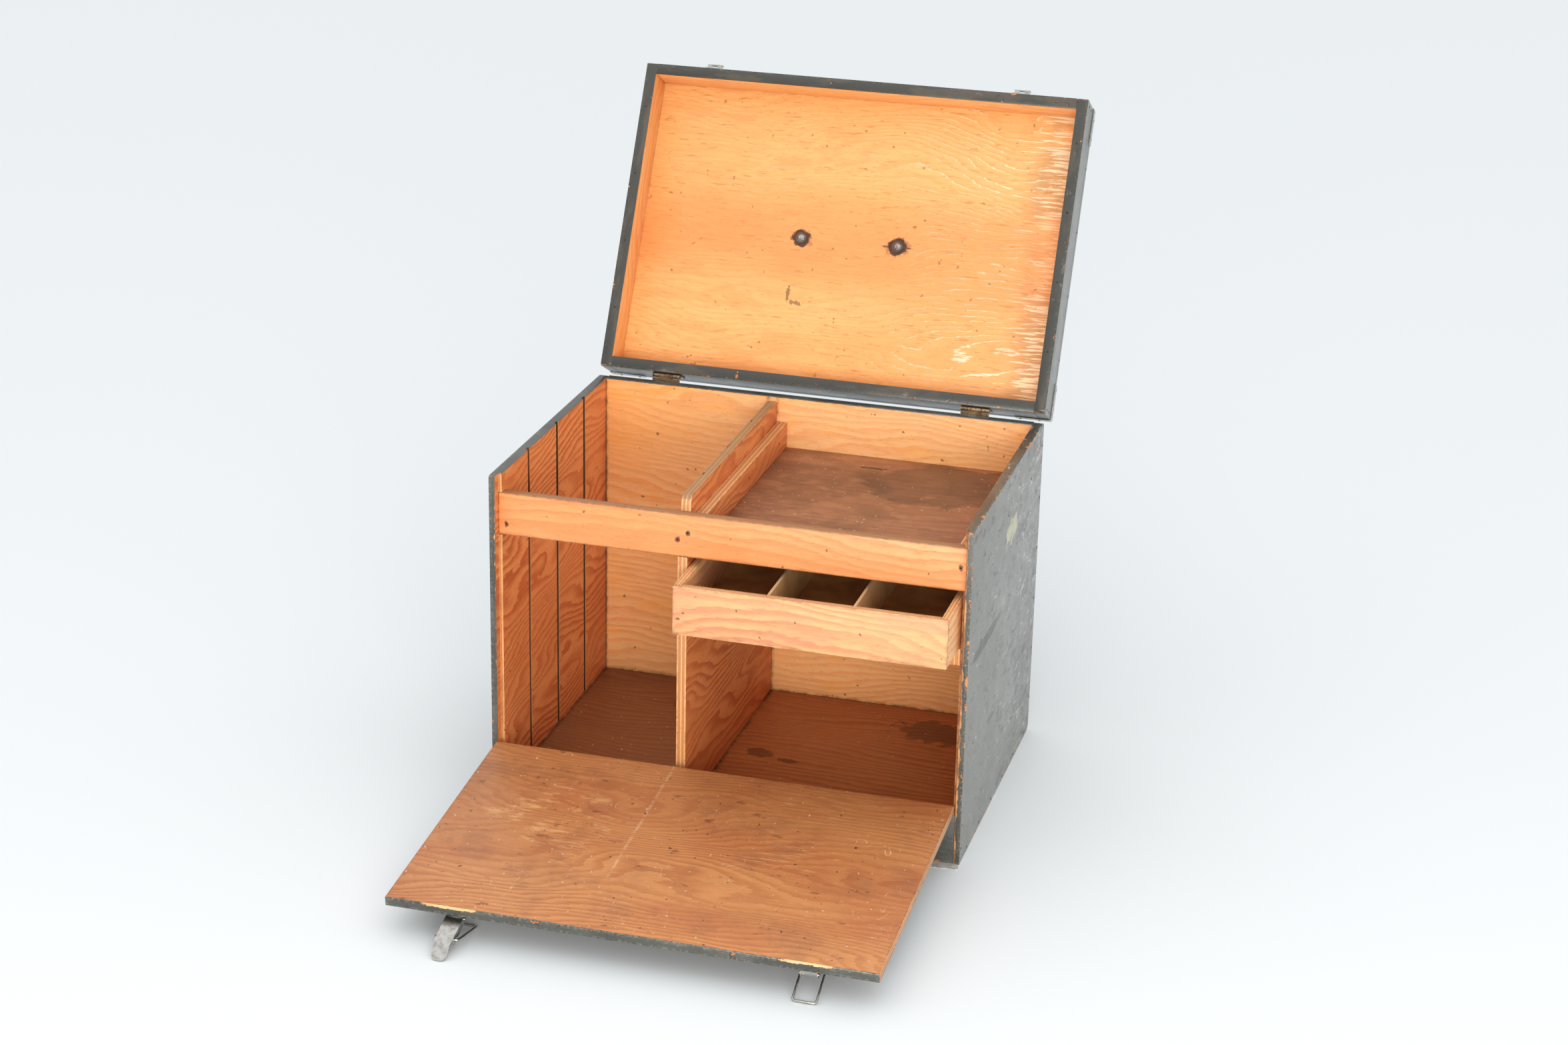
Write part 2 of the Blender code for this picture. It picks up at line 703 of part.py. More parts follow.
def build_lid():
    side_in = HALF - LID_RAIL
    rail_top = LID_CEILING - FIT
    for name, side in (("lid_rail_left", -1), ("lid_rail_right", 1)):
        xs = sorted((side * HALF, side * side_in))
        outline = rounded([
            (FRONT, RIM, EDGE_ROUND * 2),
            (BACK, RIM, CORNER_ROUND),
            (BACK, rail_top, 0),
            (FRONT, rail_top, 0),
        ])
        add_object(name, prism_mesh(outline, "X", xs[0], xs[1]), PAINTED_PLY, LID, edge=EDGE_ROUND)
    across = side_in - FIT
    board("lid_rail_front", (-across, FRONT, RIM), (across, FRONT + LID_RAIL, rail_top), PAINTED_PLY, LID)
    board("lid_rail_back", (-across, BACK - LID_RAIL, RIM), (across, BACK, rail_top), PAINTED_PLY, LID)
    outline = rounded([
        (-HALF, FRONT, CORNER_ROUND),
        (HALF, FRONT, CORNER_ROUND),
        (HALF, BACK, CORNER_ROUND),
        (-HALF, BACK, CORNER_ROUND),
    ])
    work = prism_mesh(outline, "Z", LID_CEILING, LID_TOP)
    panel = add_object("lid_panel", work, LID_PLY, LID, edge=EDGE_ROUND)
    for side in (-1, 1):
        x = side * HANDLE_X
        cut(panel, rod_mesh(BOLT_SHANK + HOLE_PLAY, "Z", (x, 0, LID_CEILING), 0.05), LID)
        cut(panel, rod_mesh(RECESS, "Z", (x, 0, LID_CEILING - CLEAR + RECESS_DEPTH), CLEAR, 24), LID)
    for end_name, end in (("front", -1), ("back", 1)):
        for side_name, side in (("left", -1), ("right", 1)):
            corner_cap(f"lid_corner_{end_name}_{side_name}", side, end)


def build_handle():
    foot = LID_TOP + FIT
    bar = foot + HANDLE_RISE
    low = foot + HANDLE_BITE
    ends = [(-HANDLE_X, 0, low), (-HANDLE_X, 0, bar), (HANDLE_X, 0, bar), (HANDLE_X, 0, low)]
    path = bent_path(ends, (HANDLE_BEND, HANDLE_BEND))
    handle = add_object("lid_handle", tube_mesh(path, HANDLE_BAR, 12), NICKEL, LID, smooth=True)
    for side in (-1, 1):
        x = side * HANDLE_X
        flange = [
            (0, 0),
            (HANDLE_FOOT, 0),
            (HANDLE_FOOT, HANDLE_FOOT_THICK * 0.6),
            (HANDLE_FOOT * 0.8, HANDLE_FOOT_THICK),
            (0, HANDLE_FOOT_THICK),
        ]
        join(handle, turned_mesh(flange, "Z", (x, 0, foot), 24), LID)
    for side, name in ((-1, "handle_bolt_left"), (1, "handle_bolt_right")):
        x = side * HANDLE_X
        deep = BOLT_BITE + SINK
        cut(handle, rod_mesh(BOLT_SHANK + HOLE_PLAY, "Z", (x, 0, foot - CLEAR), deep + CLEAR), LID)
        seat = LID_CEILING + RECESS_DEPTH - FIT
        under = seat - WASHER_THICK
        profile = [
            (0, under - BOLT_HEAD_RISE),
            (BOLT_HEAD * 0.6, under - BOLT_HEAD_RISE),
            (BOLT_HEAD, under - BOLT_HEAD_RISE * 0.4),
            (BOLT_HEAD, under),
            (WASHER, under),
            (WASHER, seat),
            (BOLT_SHANK, seat),
            (BOLT_SHANK, foot + BOLT_BITE),
            (0, foot + BOLT_BITE),
        ]
        bolt = add_object(name, turned_mesh(profile, "Z", (x, 0, 0), 24), NICKEL, LID, smooth=True)
        slot_low = (x - BOLT_SLOT / 2, -CLEAR, under - BOLT_HEAD_RISE - CLEAR)
        slot_high = (x + BOLT_SLOT / 2, CLEAR, under - BOLT_HEAD_RISE * 0.5)
        cut(bolt, box_mesh(slot_low, slot_high), LID)


def hinge(tag, x, face, out, axis_z, moving, metal):
    """A butt hinge on the case's outer face at y = face. The case's leaf has the middle knuckle."""
    y_axis = face + out * AXIS_OUT
    ys = sorted((face + out * FIT, face + out * (FIT + LEAF_METAL)))
    mid = MIDDLE_KNUCKLE / 2
    half = HINGE_LENGTH / 2
    clear = KNUCKLE + KNUCKLE_GAP * 2
    lower_runs = [(-mid + KNUCKLE_GAP / 2, mid - KNUCKLE_GAP / 2)]
    upper_runs = [(-half, -mid - KNUCKLE_GAP / 2), (mid + KNUCKLE_GAP / 2, half)]

    def leaf(name, sign, runs, group):
        zs = sorted((axis_z + sign * clear, axis_z + sign * LEAF_REACH))
        work = box_mesh((x - half, ys[0], zs[0]), (x + half, ys[1], zs[1]))
        made = add_object(name, work, metal, group)
        for start, end in runs:
            zs = sorted((axis_z, axis_z + sign * (clear + SINK)))
            join(made, box_mesh((x + start, ys[0] + HAIR, zs[0]), (x + end, ys[1] - HAIR, zs[1])), group)
            middle = x + (start + end) / 2
            join(made, rod_mesh(KNUCKLE, "X", (middle, y_axis, axis_z), (end - start) / 2, 16), group)
        cut(made, rod_mesh(PIN + PIN_PLAY, "X", (x, y_axis, axis_z), HINGE_LENGTH, 16), group)
        return made

    leaf(f"{tag}_case_leaf", -1, lower_runs, None)
    leaf(f"{tag}_{moving[0]}_leaf", 1, upper_runs, moving[1])
    pin = rod_mesh(PIN, "X", (x, y_axis, axis_z), half + PIN / 2, 12)
    add_object(f"{tag}_pin", pin, metal, smooth=True)


def build_hinges():
    for side_name, side in (("left", -1), ("right", 1)):
        x = side * HINGE_X
        hinge(f"lid_hinge_{side_name}", x, BACK, 1, LID_AXIS_Z, ("lid", LID), BRASSED_STEEL)
        hinge(f"door_hinge_{side_name}", x, FRONT, -1, DOOR_AXIS_Z, ("door", DOOR), BRASSED_STEEL)


def build_door():
    outline = rounded([
        (FRONT, DOOR_FOOT, 0),
        (FRONT + DOOR_PLY, DOOR_FOOT, 0),
        (FRONT + DOOR_PLY, DOOR_TOP, EDGE_ROUND * 2),
        (FRONT, DOOR_TOP, EDGE_ROUND * 2),
    ])
    work = prism_mesh(outline, "X", -DOOR_HALF, DOOR_HALF)
    add_object("door_panel", work, BROWN_PLY, DOOR, edge=EDGE_ROUND)


def open_height(up, out, lever_turn):
    """Height above the floor of a point given from the lever's pin, with door open and lever turned."""
    turned = Matrix.Rotation(-lever_turn, 3, "X") @ Vector((0, -out, up))
    from_axis = turned + Vector((0, PIVOT_Y - DOOR_AXIS_Y, PIVOT_Z - DOOR_AXIS_Z))
    return DOOR_AXIS_Z + (Matrix.Rotation(DOOR_OPEN, 3, "X") @ from_axis).z


def curl_outline():
    """The base's end seen from the side: a wall out from the door, rolled round the lever's pin."""
    def arc(radius, start, turn):
        steps = 14
        angles = [start + turn * k / steps for k in range(steps + 1)]
        return [(PIVOT_Y - radius * math.cos(a), PIVOT_Z + radius * math.sin(a)) for a in angles]

    foot = FRONT - FIT - LATCH_METAL / 2
    inside = CURL - LATCH_METAL
    outer = arc(CURL, math.pi / 2, -CURL_WRAP)
    inner = arc(inside, math.pi / 2 - CURL_WRAP, CURL_WRAP)
    return [(foot, PIVOT_Z + CURL - HAIR)] + outer + inner + [(foot, PIVOT_Z + inside)]


def finger_path():
    """Lever's strip as (out, down) from the pin: flat web, then the finger curling back towards the door."""
    web = LEVER_WEB_OUT + LATCH_METAL / 2
    straight = [(web, LEVER_WEB_START), (web, LEVER_CHANNEL * 0.5), (web, LEVER_CHANNEL)]
    return straight + [(web - back, LEVER_CHANNEL + down) for back, down in FINGER_CURVE]


def finger_halves():
    half = LEVER_WIDTH / 2
    narrow = half - LATCH_METAL
    return [half, half, half, narrow, narrow, narrow, narrow * 0.90, narrow * 0.66, FINGER_END_HALF]


def build_latch(tag, side, lever_turn):
    """A draw latch on the door. lever_turn is how far its lever stands open."""
    x = side * LATCH_X

    half = BASE_WIDTH / 2
    plate = FIT + LATCH_METAL
    ys = sorted((FRONT - FIT, FRONT - plate))
    base_work = box_mesh((x - half, ys[0], DOOR_TOP - BASE_LOW), (x + half, ys[1], PIVOT_Z + CURL))
    base = add_object(f"{tag}_base", base_work, NICKEL, DOOR)
    curl_half = LEVER_WIDTH / 2 - LATCH_METAL - FIT
    curl = prism_mesh(curl_outline(), "X", x - curl_half, x + curl_half)
    join(base, curl, DOOR)

    head_in = LEVER_WIDTH / 2 + FIT / 2
    head_out = head_in + LEVER_PIN_HEAD_THICK
    profile = [
        (0, -head_out),
        (LEVER_PIN_HEAD, -head_out),
        (LEVER_PIN_HEAD, -head_in),
        (LEVER_PIN, -head_in),
        (LEVER_PIN, head_in),
        (LEVER_PIN_HEAD, head_in),
        (LEVER_PIN_HEAD, head_out),
        (0, head_out),
    ]
    add_object(f"{tag}_pin", turned_mesh(profile, "X", (x, PIVOT_Y, PIVOT_Z), 16), NICKEL, DOOR, smooth=True)

    lever_group = make_group(f"{tag}_lever_axis", (0, PIVOT_Y, PIVOT_Z), DOOR, turn=-lever_turn)
    path = [(PIVOT_Y - out, PIVOT_Z - down) for out, down in finger_path()]
    work = shifted(ribbon_mesh(path, finger_halves(), LATCH_METAL), (x, 0, 0))
    lever = add_object(f"{tag}_lever", work, NICKEL, lever_group)
    flank_low = PIVOT_Z - LEVER_CHANNEL + SINK
    flank_high = PIVOT_Z + LEVER_TOP - 2 * HAIR
    for hand in (-1, 1):
        outer = hand * (LEVER_WIDTH / 2 - HAIR)
        xs = sorted((outer, outer - hand * LATCH_METAL))
        outline = rounded([
            (PIVOT_Y - LEVER_WEB_OUT - LATCH_METAL * 0.6, flank_low, 0),
            (PIVOT_Y + LEVER_SKIRT, flank_low, LEVER_CORNER),
            (PIVOT_Y + LEVER_SKIRT, flank_high, LEVER_CORNER),
            (PIVOT_Y - LEVER_WEB_OUT - LATCH_METAL * 0.6, flank_high, LEVER_CORNER),
        ], 4)
        join(lever, prism_mesh(outline, "X", x + xs[0], x + xs[1]), lever_group)
    bail_z = PIVOT_Z - BAIL_ARM
    cut(lever, rod_mesh(LEVER_PIN + PIN_PLAY, "X", (x, PIVOT_Y, PIVOT_Z), LEVER_WIDTH, 16), lever_group)
    cut(lever, rod_mesh(BAIL_WIRE + BAIL_PLAY, "X", (x, PIVOT_Y, bail_z), LEVER_WIDTH, 16), lever_group)

    # The bail's free end lies just above the floor: ahead of a shut lever, or back under an open one.
    pivot_height = open_height(-BAIL_ARM, 0, lever_turn)
    dip = math.asin((pivot_height - BAIL_WIRE - FLOOR_GAP) / BAIL_LENGTH)
    slope = DOOR_SLOPE - lever_turn
    bail_turn = slope + math.pi + dip if lever_turn else slope - dip
    bail_group = make_group(f"{tag}_bail_axis", (0, PIVOT_Y, bail_z), lever_group, turn=-bail_turn)
    stub = LEVER_WIDTH / 2 - LATCH_METAL - BAIL_STUB_PLAY
    loop = [
        (x - stub, PIVOT_Y, bail_z),
        (x - BAIL_HALF, PIVOT_Y, bail_z),
        (x - BAIL_HALF, PIVOT_Y, bail_z + BAIL_LENGTH),
        (x + BAIL_HALF, PIVOT_Y, bail_z + BAIL_LENGTH),
        (x + BAIL_HALF, PIVOT_Y, bail_z),
        (x + stub, PIVOT_Y, bail_z),
    ]
    tight = BAIL_WIRE * 1.3
    path = bent_path(loop, (tight, BAIL_CORNER, BAIL_CORNER, tight), 5)
    add_object(f"{tag}_bail", tube_mesh(path, BAIL_WIRE, 10), NICKEL, bail_group, smooth=True)


def build_strikes():
    for name, side in (("strike_left", -1), ("strike_right", 1)):
        x = side * LATCH_X
        half = STRIKE_WIDTH / 2
        hooked = BAIL_LENGTH * math.cos(BAIL_HOOK_LEAN)
        hook_up = PIVOT_Z - BAIL_ARM + hooked - BAIL_WIRE - FIT - DOOR_TOP

        def box_in(low, high):
            ys = sorted((FRONT - low[1], FRONT - high[1]))
            return box_mesh((x + low[0], ys[0], DOOR_TOP + low[2]), (x + high[0], ys[1], DOOR_TOP + high[2]))

        plate = FIT + LATCH_METAL
        strike = add_object(
            name, box_in((-half, FIT, STRIKE_LOW), (half, plate, STRIKE_HIGH)), NICKEL, LID
        )
        leg_out = STRIKE_HOOK_OUT - STRIKE_STEP
        for hand in (-1, 1):
            xs = sorted((hand * STRIKE_LEG_GAP / 2, hand * (half - STRIKE_STEP)))
            low_up = hook_up - STRIKE_LEG_DEEP
            join(strike, box_in((xs[0], plate - STRIKE_STEP, low_up), (xs[1], leg_out, hook_up)), LID)
        lip_in = STRIKE_HOOK_OUT - LATCH_METAL * 1.2
        lip_low = hook_up - STRIKE_LEG_DEEP + STRIKE_STEP
        lip_high = hook_up + STRIKE_LIP_RISE
        join(strike, box_in((-half, lip_in, lip_low), (half, STRIKE_HOOK_OUT, lip_high)), LID)


build_case()
build_inside()
build_corner_plates()
build_drawer()
build_lid()
build_handle()
build_hinges()
build_door()
build_strikes()
build_latch("latch_left", -1, LEVER_OPEN)
build_latch("latch_right", 1, 0.0)
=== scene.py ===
"""Looks for the plywood equipment case: veneers, worn paint, plated steel, fastenings, floor, light, camera.

Lengths are metres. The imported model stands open. Each board, screw and mark is placed in the closed case,
where every body is square to the axes, and is carried to the rest pose by its body's joints.
"""

import json
import math
from collections import namedtuple

import bmesh
import bpy
from mathutils import Matrix, Vector

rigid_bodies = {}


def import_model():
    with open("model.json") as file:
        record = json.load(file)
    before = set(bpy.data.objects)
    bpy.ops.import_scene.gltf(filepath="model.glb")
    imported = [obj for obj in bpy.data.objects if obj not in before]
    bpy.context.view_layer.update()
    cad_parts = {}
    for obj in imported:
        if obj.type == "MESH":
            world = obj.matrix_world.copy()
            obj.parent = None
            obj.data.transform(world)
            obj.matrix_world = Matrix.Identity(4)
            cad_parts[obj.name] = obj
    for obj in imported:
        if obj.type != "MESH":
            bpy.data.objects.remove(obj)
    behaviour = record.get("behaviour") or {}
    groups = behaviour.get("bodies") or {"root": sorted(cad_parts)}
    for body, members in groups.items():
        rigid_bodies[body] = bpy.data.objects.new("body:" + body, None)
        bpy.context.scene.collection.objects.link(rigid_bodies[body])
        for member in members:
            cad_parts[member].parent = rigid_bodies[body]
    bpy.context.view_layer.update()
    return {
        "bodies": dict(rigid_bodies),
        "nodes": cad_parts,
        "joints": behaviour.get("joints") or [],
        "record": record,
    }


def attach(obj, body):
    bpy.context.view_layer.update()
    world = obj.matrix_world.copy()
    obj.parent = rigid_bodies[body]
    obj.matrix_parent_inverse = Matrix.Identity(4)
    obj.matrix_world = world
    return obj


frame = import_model()

X, Y, Z = 0, 1, 2
JOINTS = {joint["child"]: joint for joint in frame["joints"]}


def joint_motion(joint, value):
    """How a joint's child moves when the joint goes from rest to value, in degrees or metres."""
    axis = Vector(joint["axis"])
    if joint["type"] == "slide":
        return Matrix.Translation(axis * value)
    centre = Vector(joint["pos_m"])
    turn = Matrix.Rotation(math.radians(value), 4, axis)
    return Matrix.Translation(centre) @ turn @ Matrix.Translation(-centre)


def closing(body):
    """Takes a place on a body at rest to its place in the closed case."""
    joint = JOINTS.get(body)
    if joint is None:
        return Matrix.Identity(4)
    low = joint["range_m" if joint["type"] == "slide" else "range_deg"][0]
    return closing(joint["parent"]) @ joint_motion(joint, low)


CLOSED = {body: closing(body) for body in frame["bodies"]}
NODE_BODY = {node: body for body, nodes in frame["record"]["behaviour"]["bodies"].items() for node in nodes}


def closed_box(node):
    """Lowest and highest corners of a node in the closed case."""
    to_closed = CLOSED[NODE_BODY[node]]
    places = [to_closed @ v.co for v in frame["nodes"][node].data.vertices]
    low = Vector(min(p[i] for p in places) for i in range(3))
    high = Vector(max(p[i] for p in places) for i in range(3))
    return low, high


def srgb(red, green, blue):
    """A colour as a screen shows it, in the linear values that a shader takes."""
    def linear(v):
        return v / 12.92 if v <= 0.04045 else ((v + 0.055) / 1.055) ** 2.4

    return (linear(red), linear(green), linear(blue), 1.0)


# ---------------------------------------------------------------- shader building


class Shader:
    """A material whose places and normals are those of the closed case, whatever body it is on."""

    def __init__(self, name, body):
        self.material = bpy.data.materials.new(name)
        self.material.use_nodes = True
        self.tree = self.material.node_tree
        self.surface = self.tree.nodes["Principled BSDF"]
        source = self.add("TexCoord")
        to_closed = CLOSED[body]
        turn = to_closed.to_euler()
        self.place = self.add(
            "Mapping",
            {0: source.outputs["Object"], 1: to_closed.translation, 2: turn},
            vector_type="POINT",
        ).outputs[0]
        self.normal = self.add(
            "Mapping",
            {0: source.outputs["Normal"], 2: turn},
            vector_type="VECTOR",
        ).outputs[0]
        self.at = self.split(self.place)
        self.facing = self.split(self.normal)

    def put(self, socket, value):
        if isinstance(value, bpy.types.NodeSocket):
            self.tree.links.new(value, socket)
        else:
            socket.default_value = value

    def add(self, kind, values=(), **settings):
        made = self.tree.nodes.new("ShaderNode" + kind)
        for key, value in settings.items():
            setattr(made, key, value)
        for index, value in dict(values).items():
            self.put(made.inputs[index], value)
        return made

    def math(self, operation, *values):
        return self.add("Math", enumerate(values), operation=operation).outputs[0]

    def total(self, *values):
        result = values[0]
        for value in values[1:]:
            result = self.math("ADD", result, value)
        return result

    def times(self, first, second):
        return self.math("MULTIPLY", first, second)

    def minus(self, first, second):
        return self.math("SUBTRACT", first, second)

    def linear(self, value, factor, start):
        return self.math("MULTIPLY_ADD", value, factor, start)

    def size(self, value):
        return self.math("ABSOLUTE", value)

    def split(self, vector):
        return self.add("SeparateXYZ", {0: vector}).outputs[:3]

    def join(self, *values):
        return self.add("CombineXYZ", enumerate(values)).outputs[0]

    def step(self, value, low, high):
        """0 at low and 1 at high, smoothly; low may be the larger."""
        made = self.add("MapRange", {0: value, 1: low, 2: high}, interpolation_type="SMOOTHSTEP")
        return made.outputs[0]

    def noise(self, vector, scale=1.0, detail=2.0, rough=0.5, wander=0.0):
        made = self.add("TexNoise", {"Vector": vector, "Scale": scale, "Detail": detail, "Roughness": rough})
        made.inputs["Distortion"].default_value = wander
        return made.outputs[0]

    def blend(self, share, first, second, kind="MIX"):
        made = self.add("Mix", {0: share, 6: first, 7: second}, data_type="RGBA", blend_type=kind)
        return made.outputs[2]

    def tint(self, share, amount, first, second):
        """first, turned towards second by an amount where share is 1."""
        return self.blend(self.times(share, amount), first, second)

    def shade(self, colour, amount):
        """colour made lighter or darker by an amount near 1."""
        grey = self.join(amount, amount, amount)
        return self.blend(1.0, colour, grey, "MULTIPLY")

    def finish(self, colour, rough, height, metal=0.0, depth=0.0004):
        self.put(self.surface.inputs["Base Color"], colour)
        self.put(self.surface.inputs["Roughness"], rough)
        self.put(self.surface.inputs["Metallic"], metal)
        bump = self.add("Bump", {"Height": height, "Distance": depth, "Strength": 1.0})
        self.put(self.surface.inputs["Normal"], bump.outputs[0])
        return self.material


# ---------------------------------------------------------------- sizes read from the frame

LEFT_LOW, LEFT_HIGH = closed_box("left_side_panel")
RIGHT_LOW, RIGHT_HIGH = closed_box("right_side_panel")
BACK_LOW, BACK_HIGH = closed_box("back_panel")
CASE_LOW = Vector((LEFT_LOW.x, LEFT_LOW.y, 0.0))
CASE_HIGH = Vector((RIGHT_HIGH.x, BACK_HIGH.y, BACK_HIGH.z))
LID_LOW = Vector((CASE_LOW.x, CASE_LOW.y, closed_box("lid_rail_left")[0].z))
LID_HIGH = Vector((CASE_HIGH.x, CASE_HIGH.y, closed_box("lid_panel")[1].z))
DOOR_LOW, DOOR_HIGH = closed_box("door_panel")
DOOR_THICK = DOOR_HIGH.y - DOOR_LOW.y
INNER_RIGHT = RIGHT_LOW.x
INNER_LEFT = LEFT_HIGH.x
DIVIDER_LOW, DIVIDER_HIGH = closed_box("divider_panel")
BACK_WALL = BACK_LOW.y
BAY_FLOOR = closed_box("bottom_panel")[1].z
RAIL_LOW, RAIL_HIGH = closed_box("front_rail")
SHELF_LOW, SHELF_HIGH = closed_box("shelf_panel")
LATCH_X = sum(v.x for v in closed_box("latch_right_base")) / 2
BOLT_X = sum(v.x for v in closed_box("handle_bolt_right")) / 2
PAINT_TURN = 0.0011  # paint reaches this far round an outer arris

# ---------------------------------------------------------------- woods

# Light wood, dark bands and broad tone; then band spacing, warp, contrast, fibre streak and roughness.
Wood = namedtuple("Wood", "light band tone spacing warp contrast streak sheen")


def fir(light, band, tone, *grain):
    return Wood(srgb(*light), srgb(*band), srgb(*tone), *grain)


RED_FIR = fir((0.90, 0.58, 0.34), (0.72, 0.33, 0.17), (0.80, 0.42, 0.20), 0.0085, 7.0, 0.92, 0.10, 0.42)
HONEY_FIR = fir((0.95, 0.72, 0.47), (0.90, 0.58, 0.33), (0.95, 0.66, 0.34), 0.0062, 6.0, 0.62, 0.07, 0.45)
YELLOW_FIR = fir((0.94, 0.71, 0.44), (0.90, 0.60, 0.33), (0.91, 0.62, 0.34), 0.0045, 9.0, 0.42, 0.12, 0.42)
RAIL_FIR = fir((0.93, 0.65, 0.42), (0.87, 0.48, 0.27), (0.91, 0.54, 0.29), 0.0068, 4.0, 0.55, 0.06, 0.42)
DOOR_FIR = fir((0.78, 0.53, 0.32), (0.64, 0.36, 0.19), (0.70, 0.43, 0.24), 0.0068, 7.0, 0.62, 0.10, 0.42)
STAINED_FIR = fir((0.80, 0.52, 0.31), (0.58, 0.33, 0.18), (0.63, 0.38, 0.22), 0.0060, 4.0, 0.60, 0.14, 0.50)
SHELF_FIR = fir((0.69, 0.46, 0.31), (0.53, 0.31, 0.19), (0.46, 0.27, 0.17), 0.0090, 3.0, 0.35, 0.14, 0.50)
PALE_FIR = fir((0.89, 0.69, 0.48), (0.82, 0.52, 0.37), (0.89, 0.65, 0.46), 0.0075, 7.0, 0.85, 0.06, 0.58)

PLY_LONG = srgb(0.95, 0.75, 0.50)
PLY_END = srgb(0.78, 0.52, 0.31)


class Board:
    """One board's shader: its box in the closed case, and its thickness, grain and cross axes."""

    def __init__(self, node, grain, seed):
        self.node = node
        self.shader = Shader(node, NODE_BODY[node])
        self.low, self.high = closed_box(node)
        sizes = self.high - self.low
        self.thick = min((X, Y, Z), key=lambda i: sizes[i])
        self.grain = grain
        self.cross = 3 - self.thick - grain
        self.thickness = sizes[self.thick]
        self.seed = seed

    def along(self, grain_scale, cross_scale, shift=0.0):
        """A vector for a noise that is stretched by the two scales, in features for each metre."""
        s = self.shader
        g = s.linear(s.at[self.grain], grain_scale, self.seed * 7.31 + shift)
        c = s.linear(s.at[self.cross], cross_scale, self.seed * 3.17 - shift)
        d = s.linear(s.facing[self.thick], 1.7, self.seed)
        return s.join(g, c, d)

    def veneer(self, wood):
        """Rotary-cut veneer: contour lines of a slow height field, drawn out along the grain."""
        s = self.shader
        slow = s.minus(s.noise(self.along(3.4, 10.0), detail=1.5, rough=0.45), 0.5)
        wave = s.minus(s.noise(self.along(20.0, 60.0, 4.0), detail=2.0), 0.5)
        feather = s.minus(s.noise(self.along(55.0, 420.0, 9.0), detail=2.0), 0.5)
        phase = s.total(
            s.times(s.at[self.cross], 1.0 / wood.spacing * 0.55),
            s.times(slow, wood.warp * 2.2),
            s.times(wave, 0.9),
            s.times(feather, 0.45),
        )
        ring = s.math("FRACT", phase)
        self.crest = s.times(s.step(ring, 0.86, 0.94), s.step(ring, 1.0, 0.97))
        rise = s.step(ring, 0.25, 0.85)
        fall = s.step(ring, 1.0, 0.95)
        late = s.times(rise, fall)
        patchy = s.step(s.noise(self.along(4.0, 14.0, 17.0), detail=1.0), 0.25, 0.72)
        strength = s.linear(patchy, wood.contrast * 0.5, wood.contrast * 0.5)
        colour = s.tint(late, strength, wood.light, wood.band)
        broad = s.step(s.noise(self.along(2.2, 7.0, 23.0), detail=2.0), 0.42, 0.70)
        colour = s.tint(broad, 0.45, colour, wood.tone)
        fibre = s.noise(self.along(14.0, 950.0, 31.0), detail=3.0, rough=0.65)
        colour = s.shade(colour, s.linear(fibre, wood.streak * 2.6, 1.0 - wood.streak * 1.3))
        pore = s.step(s.noise(self.along(110.0, 1500.0, 41.0), detail=1.0), 0.66, 0.78)
        fleck = s.step(s.noise(self.along(62.0, 620.0, 47.0), detail=2.0, rough=0.6), 0.63, 0.72)
        colour = s.tint(fleck, 0.42, colour, wood.band)
        colour = s.shade(colour, s.linear(pore, -0.2, 1.0))
        ragged = s.noise(self.along(40.0, 260.0, 53.0), detail=4.0, rough=0.7)
        colour = s.shade(colour, s.linear(ragged, 0.34, 0.83))
        height = s.total(s.times(late, 0.35), s.times(fibre, 0.5), s.times(pore, -0.5))
        return colour, height

    def plies(self, wood, count):
        """A board's edge: long grain pale, end grain darker and pitted, with thin glue lines."""
        s = self.shader
        wobble = s.times(s.minus(s.noise(s.place, 60.0, 2.0), 0.5), 0.22)
        depth = s.minus(s.at[self.thick], self.low[self.thick])
        layer = s.linear(depth, count / self.thickness, wobble)
        within = s.math("FRACT", layer)
        odd = s.math("FRACT", s.times(s.math("FLOOR", layer), 0.5))
        odd = s.step(odd, 0.2, 0.3)
        pits = s.noise(s.place, 900.0, 2.0)
        colour = s.tint(odd, 0.8, PLY_LONG, PLY_END)
        colour = s.blend(0.25, colour, wood.band)
        colour = s.shade(colour, s.linear(pits, 0.6, 0.68))
        glue = s.math("MAXIMUM", s.step(within, 0.07, 0.0), s.step(within, 0.93, 1.0))
        colour = s.shade(colour, s.linear(glue, -0.45, 1.0))
        return colour, s.total(s.times(odd, -0.3), s.times(pits, 0.7), s.times(glue, -0.4))

    def wooden(self, wood, count=5):
        """Colour and height of the bare board: veneer on its faces and plies on its edges."""
        s = self.shader
        veneer, veneer_height = self.veneer(wood)
        edge, edge_height = self.plies(wood, count)
        face = s.step(s.size(s.facing[self.thick]), 0.55, 0.75)
        colour = s.blend(face, edge, veneer)
        height = s.add("Mix", {0: face, 2: edge_height, 3: veneer_height}).outputs[0]
        return colour, height

    def arris(self):
        """Distance to the board's nearest arris, from a place on its surface."""
        s = self.shader
        return arris_distance(s, self.low, self.high)


def arris_distance(s, low, high):
    """The middle one of the distances to a box's three pairs of faces: how near an edge is."""
    gaps = []
    for i in (X, Y, Z):
        below = s.minus(s.at[i], low[i])
        above = s.minus(high[i], s.at[i])
        gaps.append(s.math("MAXIMUM", s.math("MINIMUM", below, above), 0.0))
    a, b, c = gaps
    return s.math("MAXIMUM", s.math("MINIMUM", a, b), s.math("MINIMUM", s.math("MAXIMUM", a, b), c))


def nearness(s, planes, reach):
    """1 on the nearest of some planes, given as (axis, place), and 0 at reach from it."""
    nearest = None
    for axis, place in planes:
        gap = s.size(s.minus(s.at[axis], place))
        nearest = gap if nearest is None else s.math("MINIMUM", nearest, gap)
    return s.step(nearest, reach, 0.0)


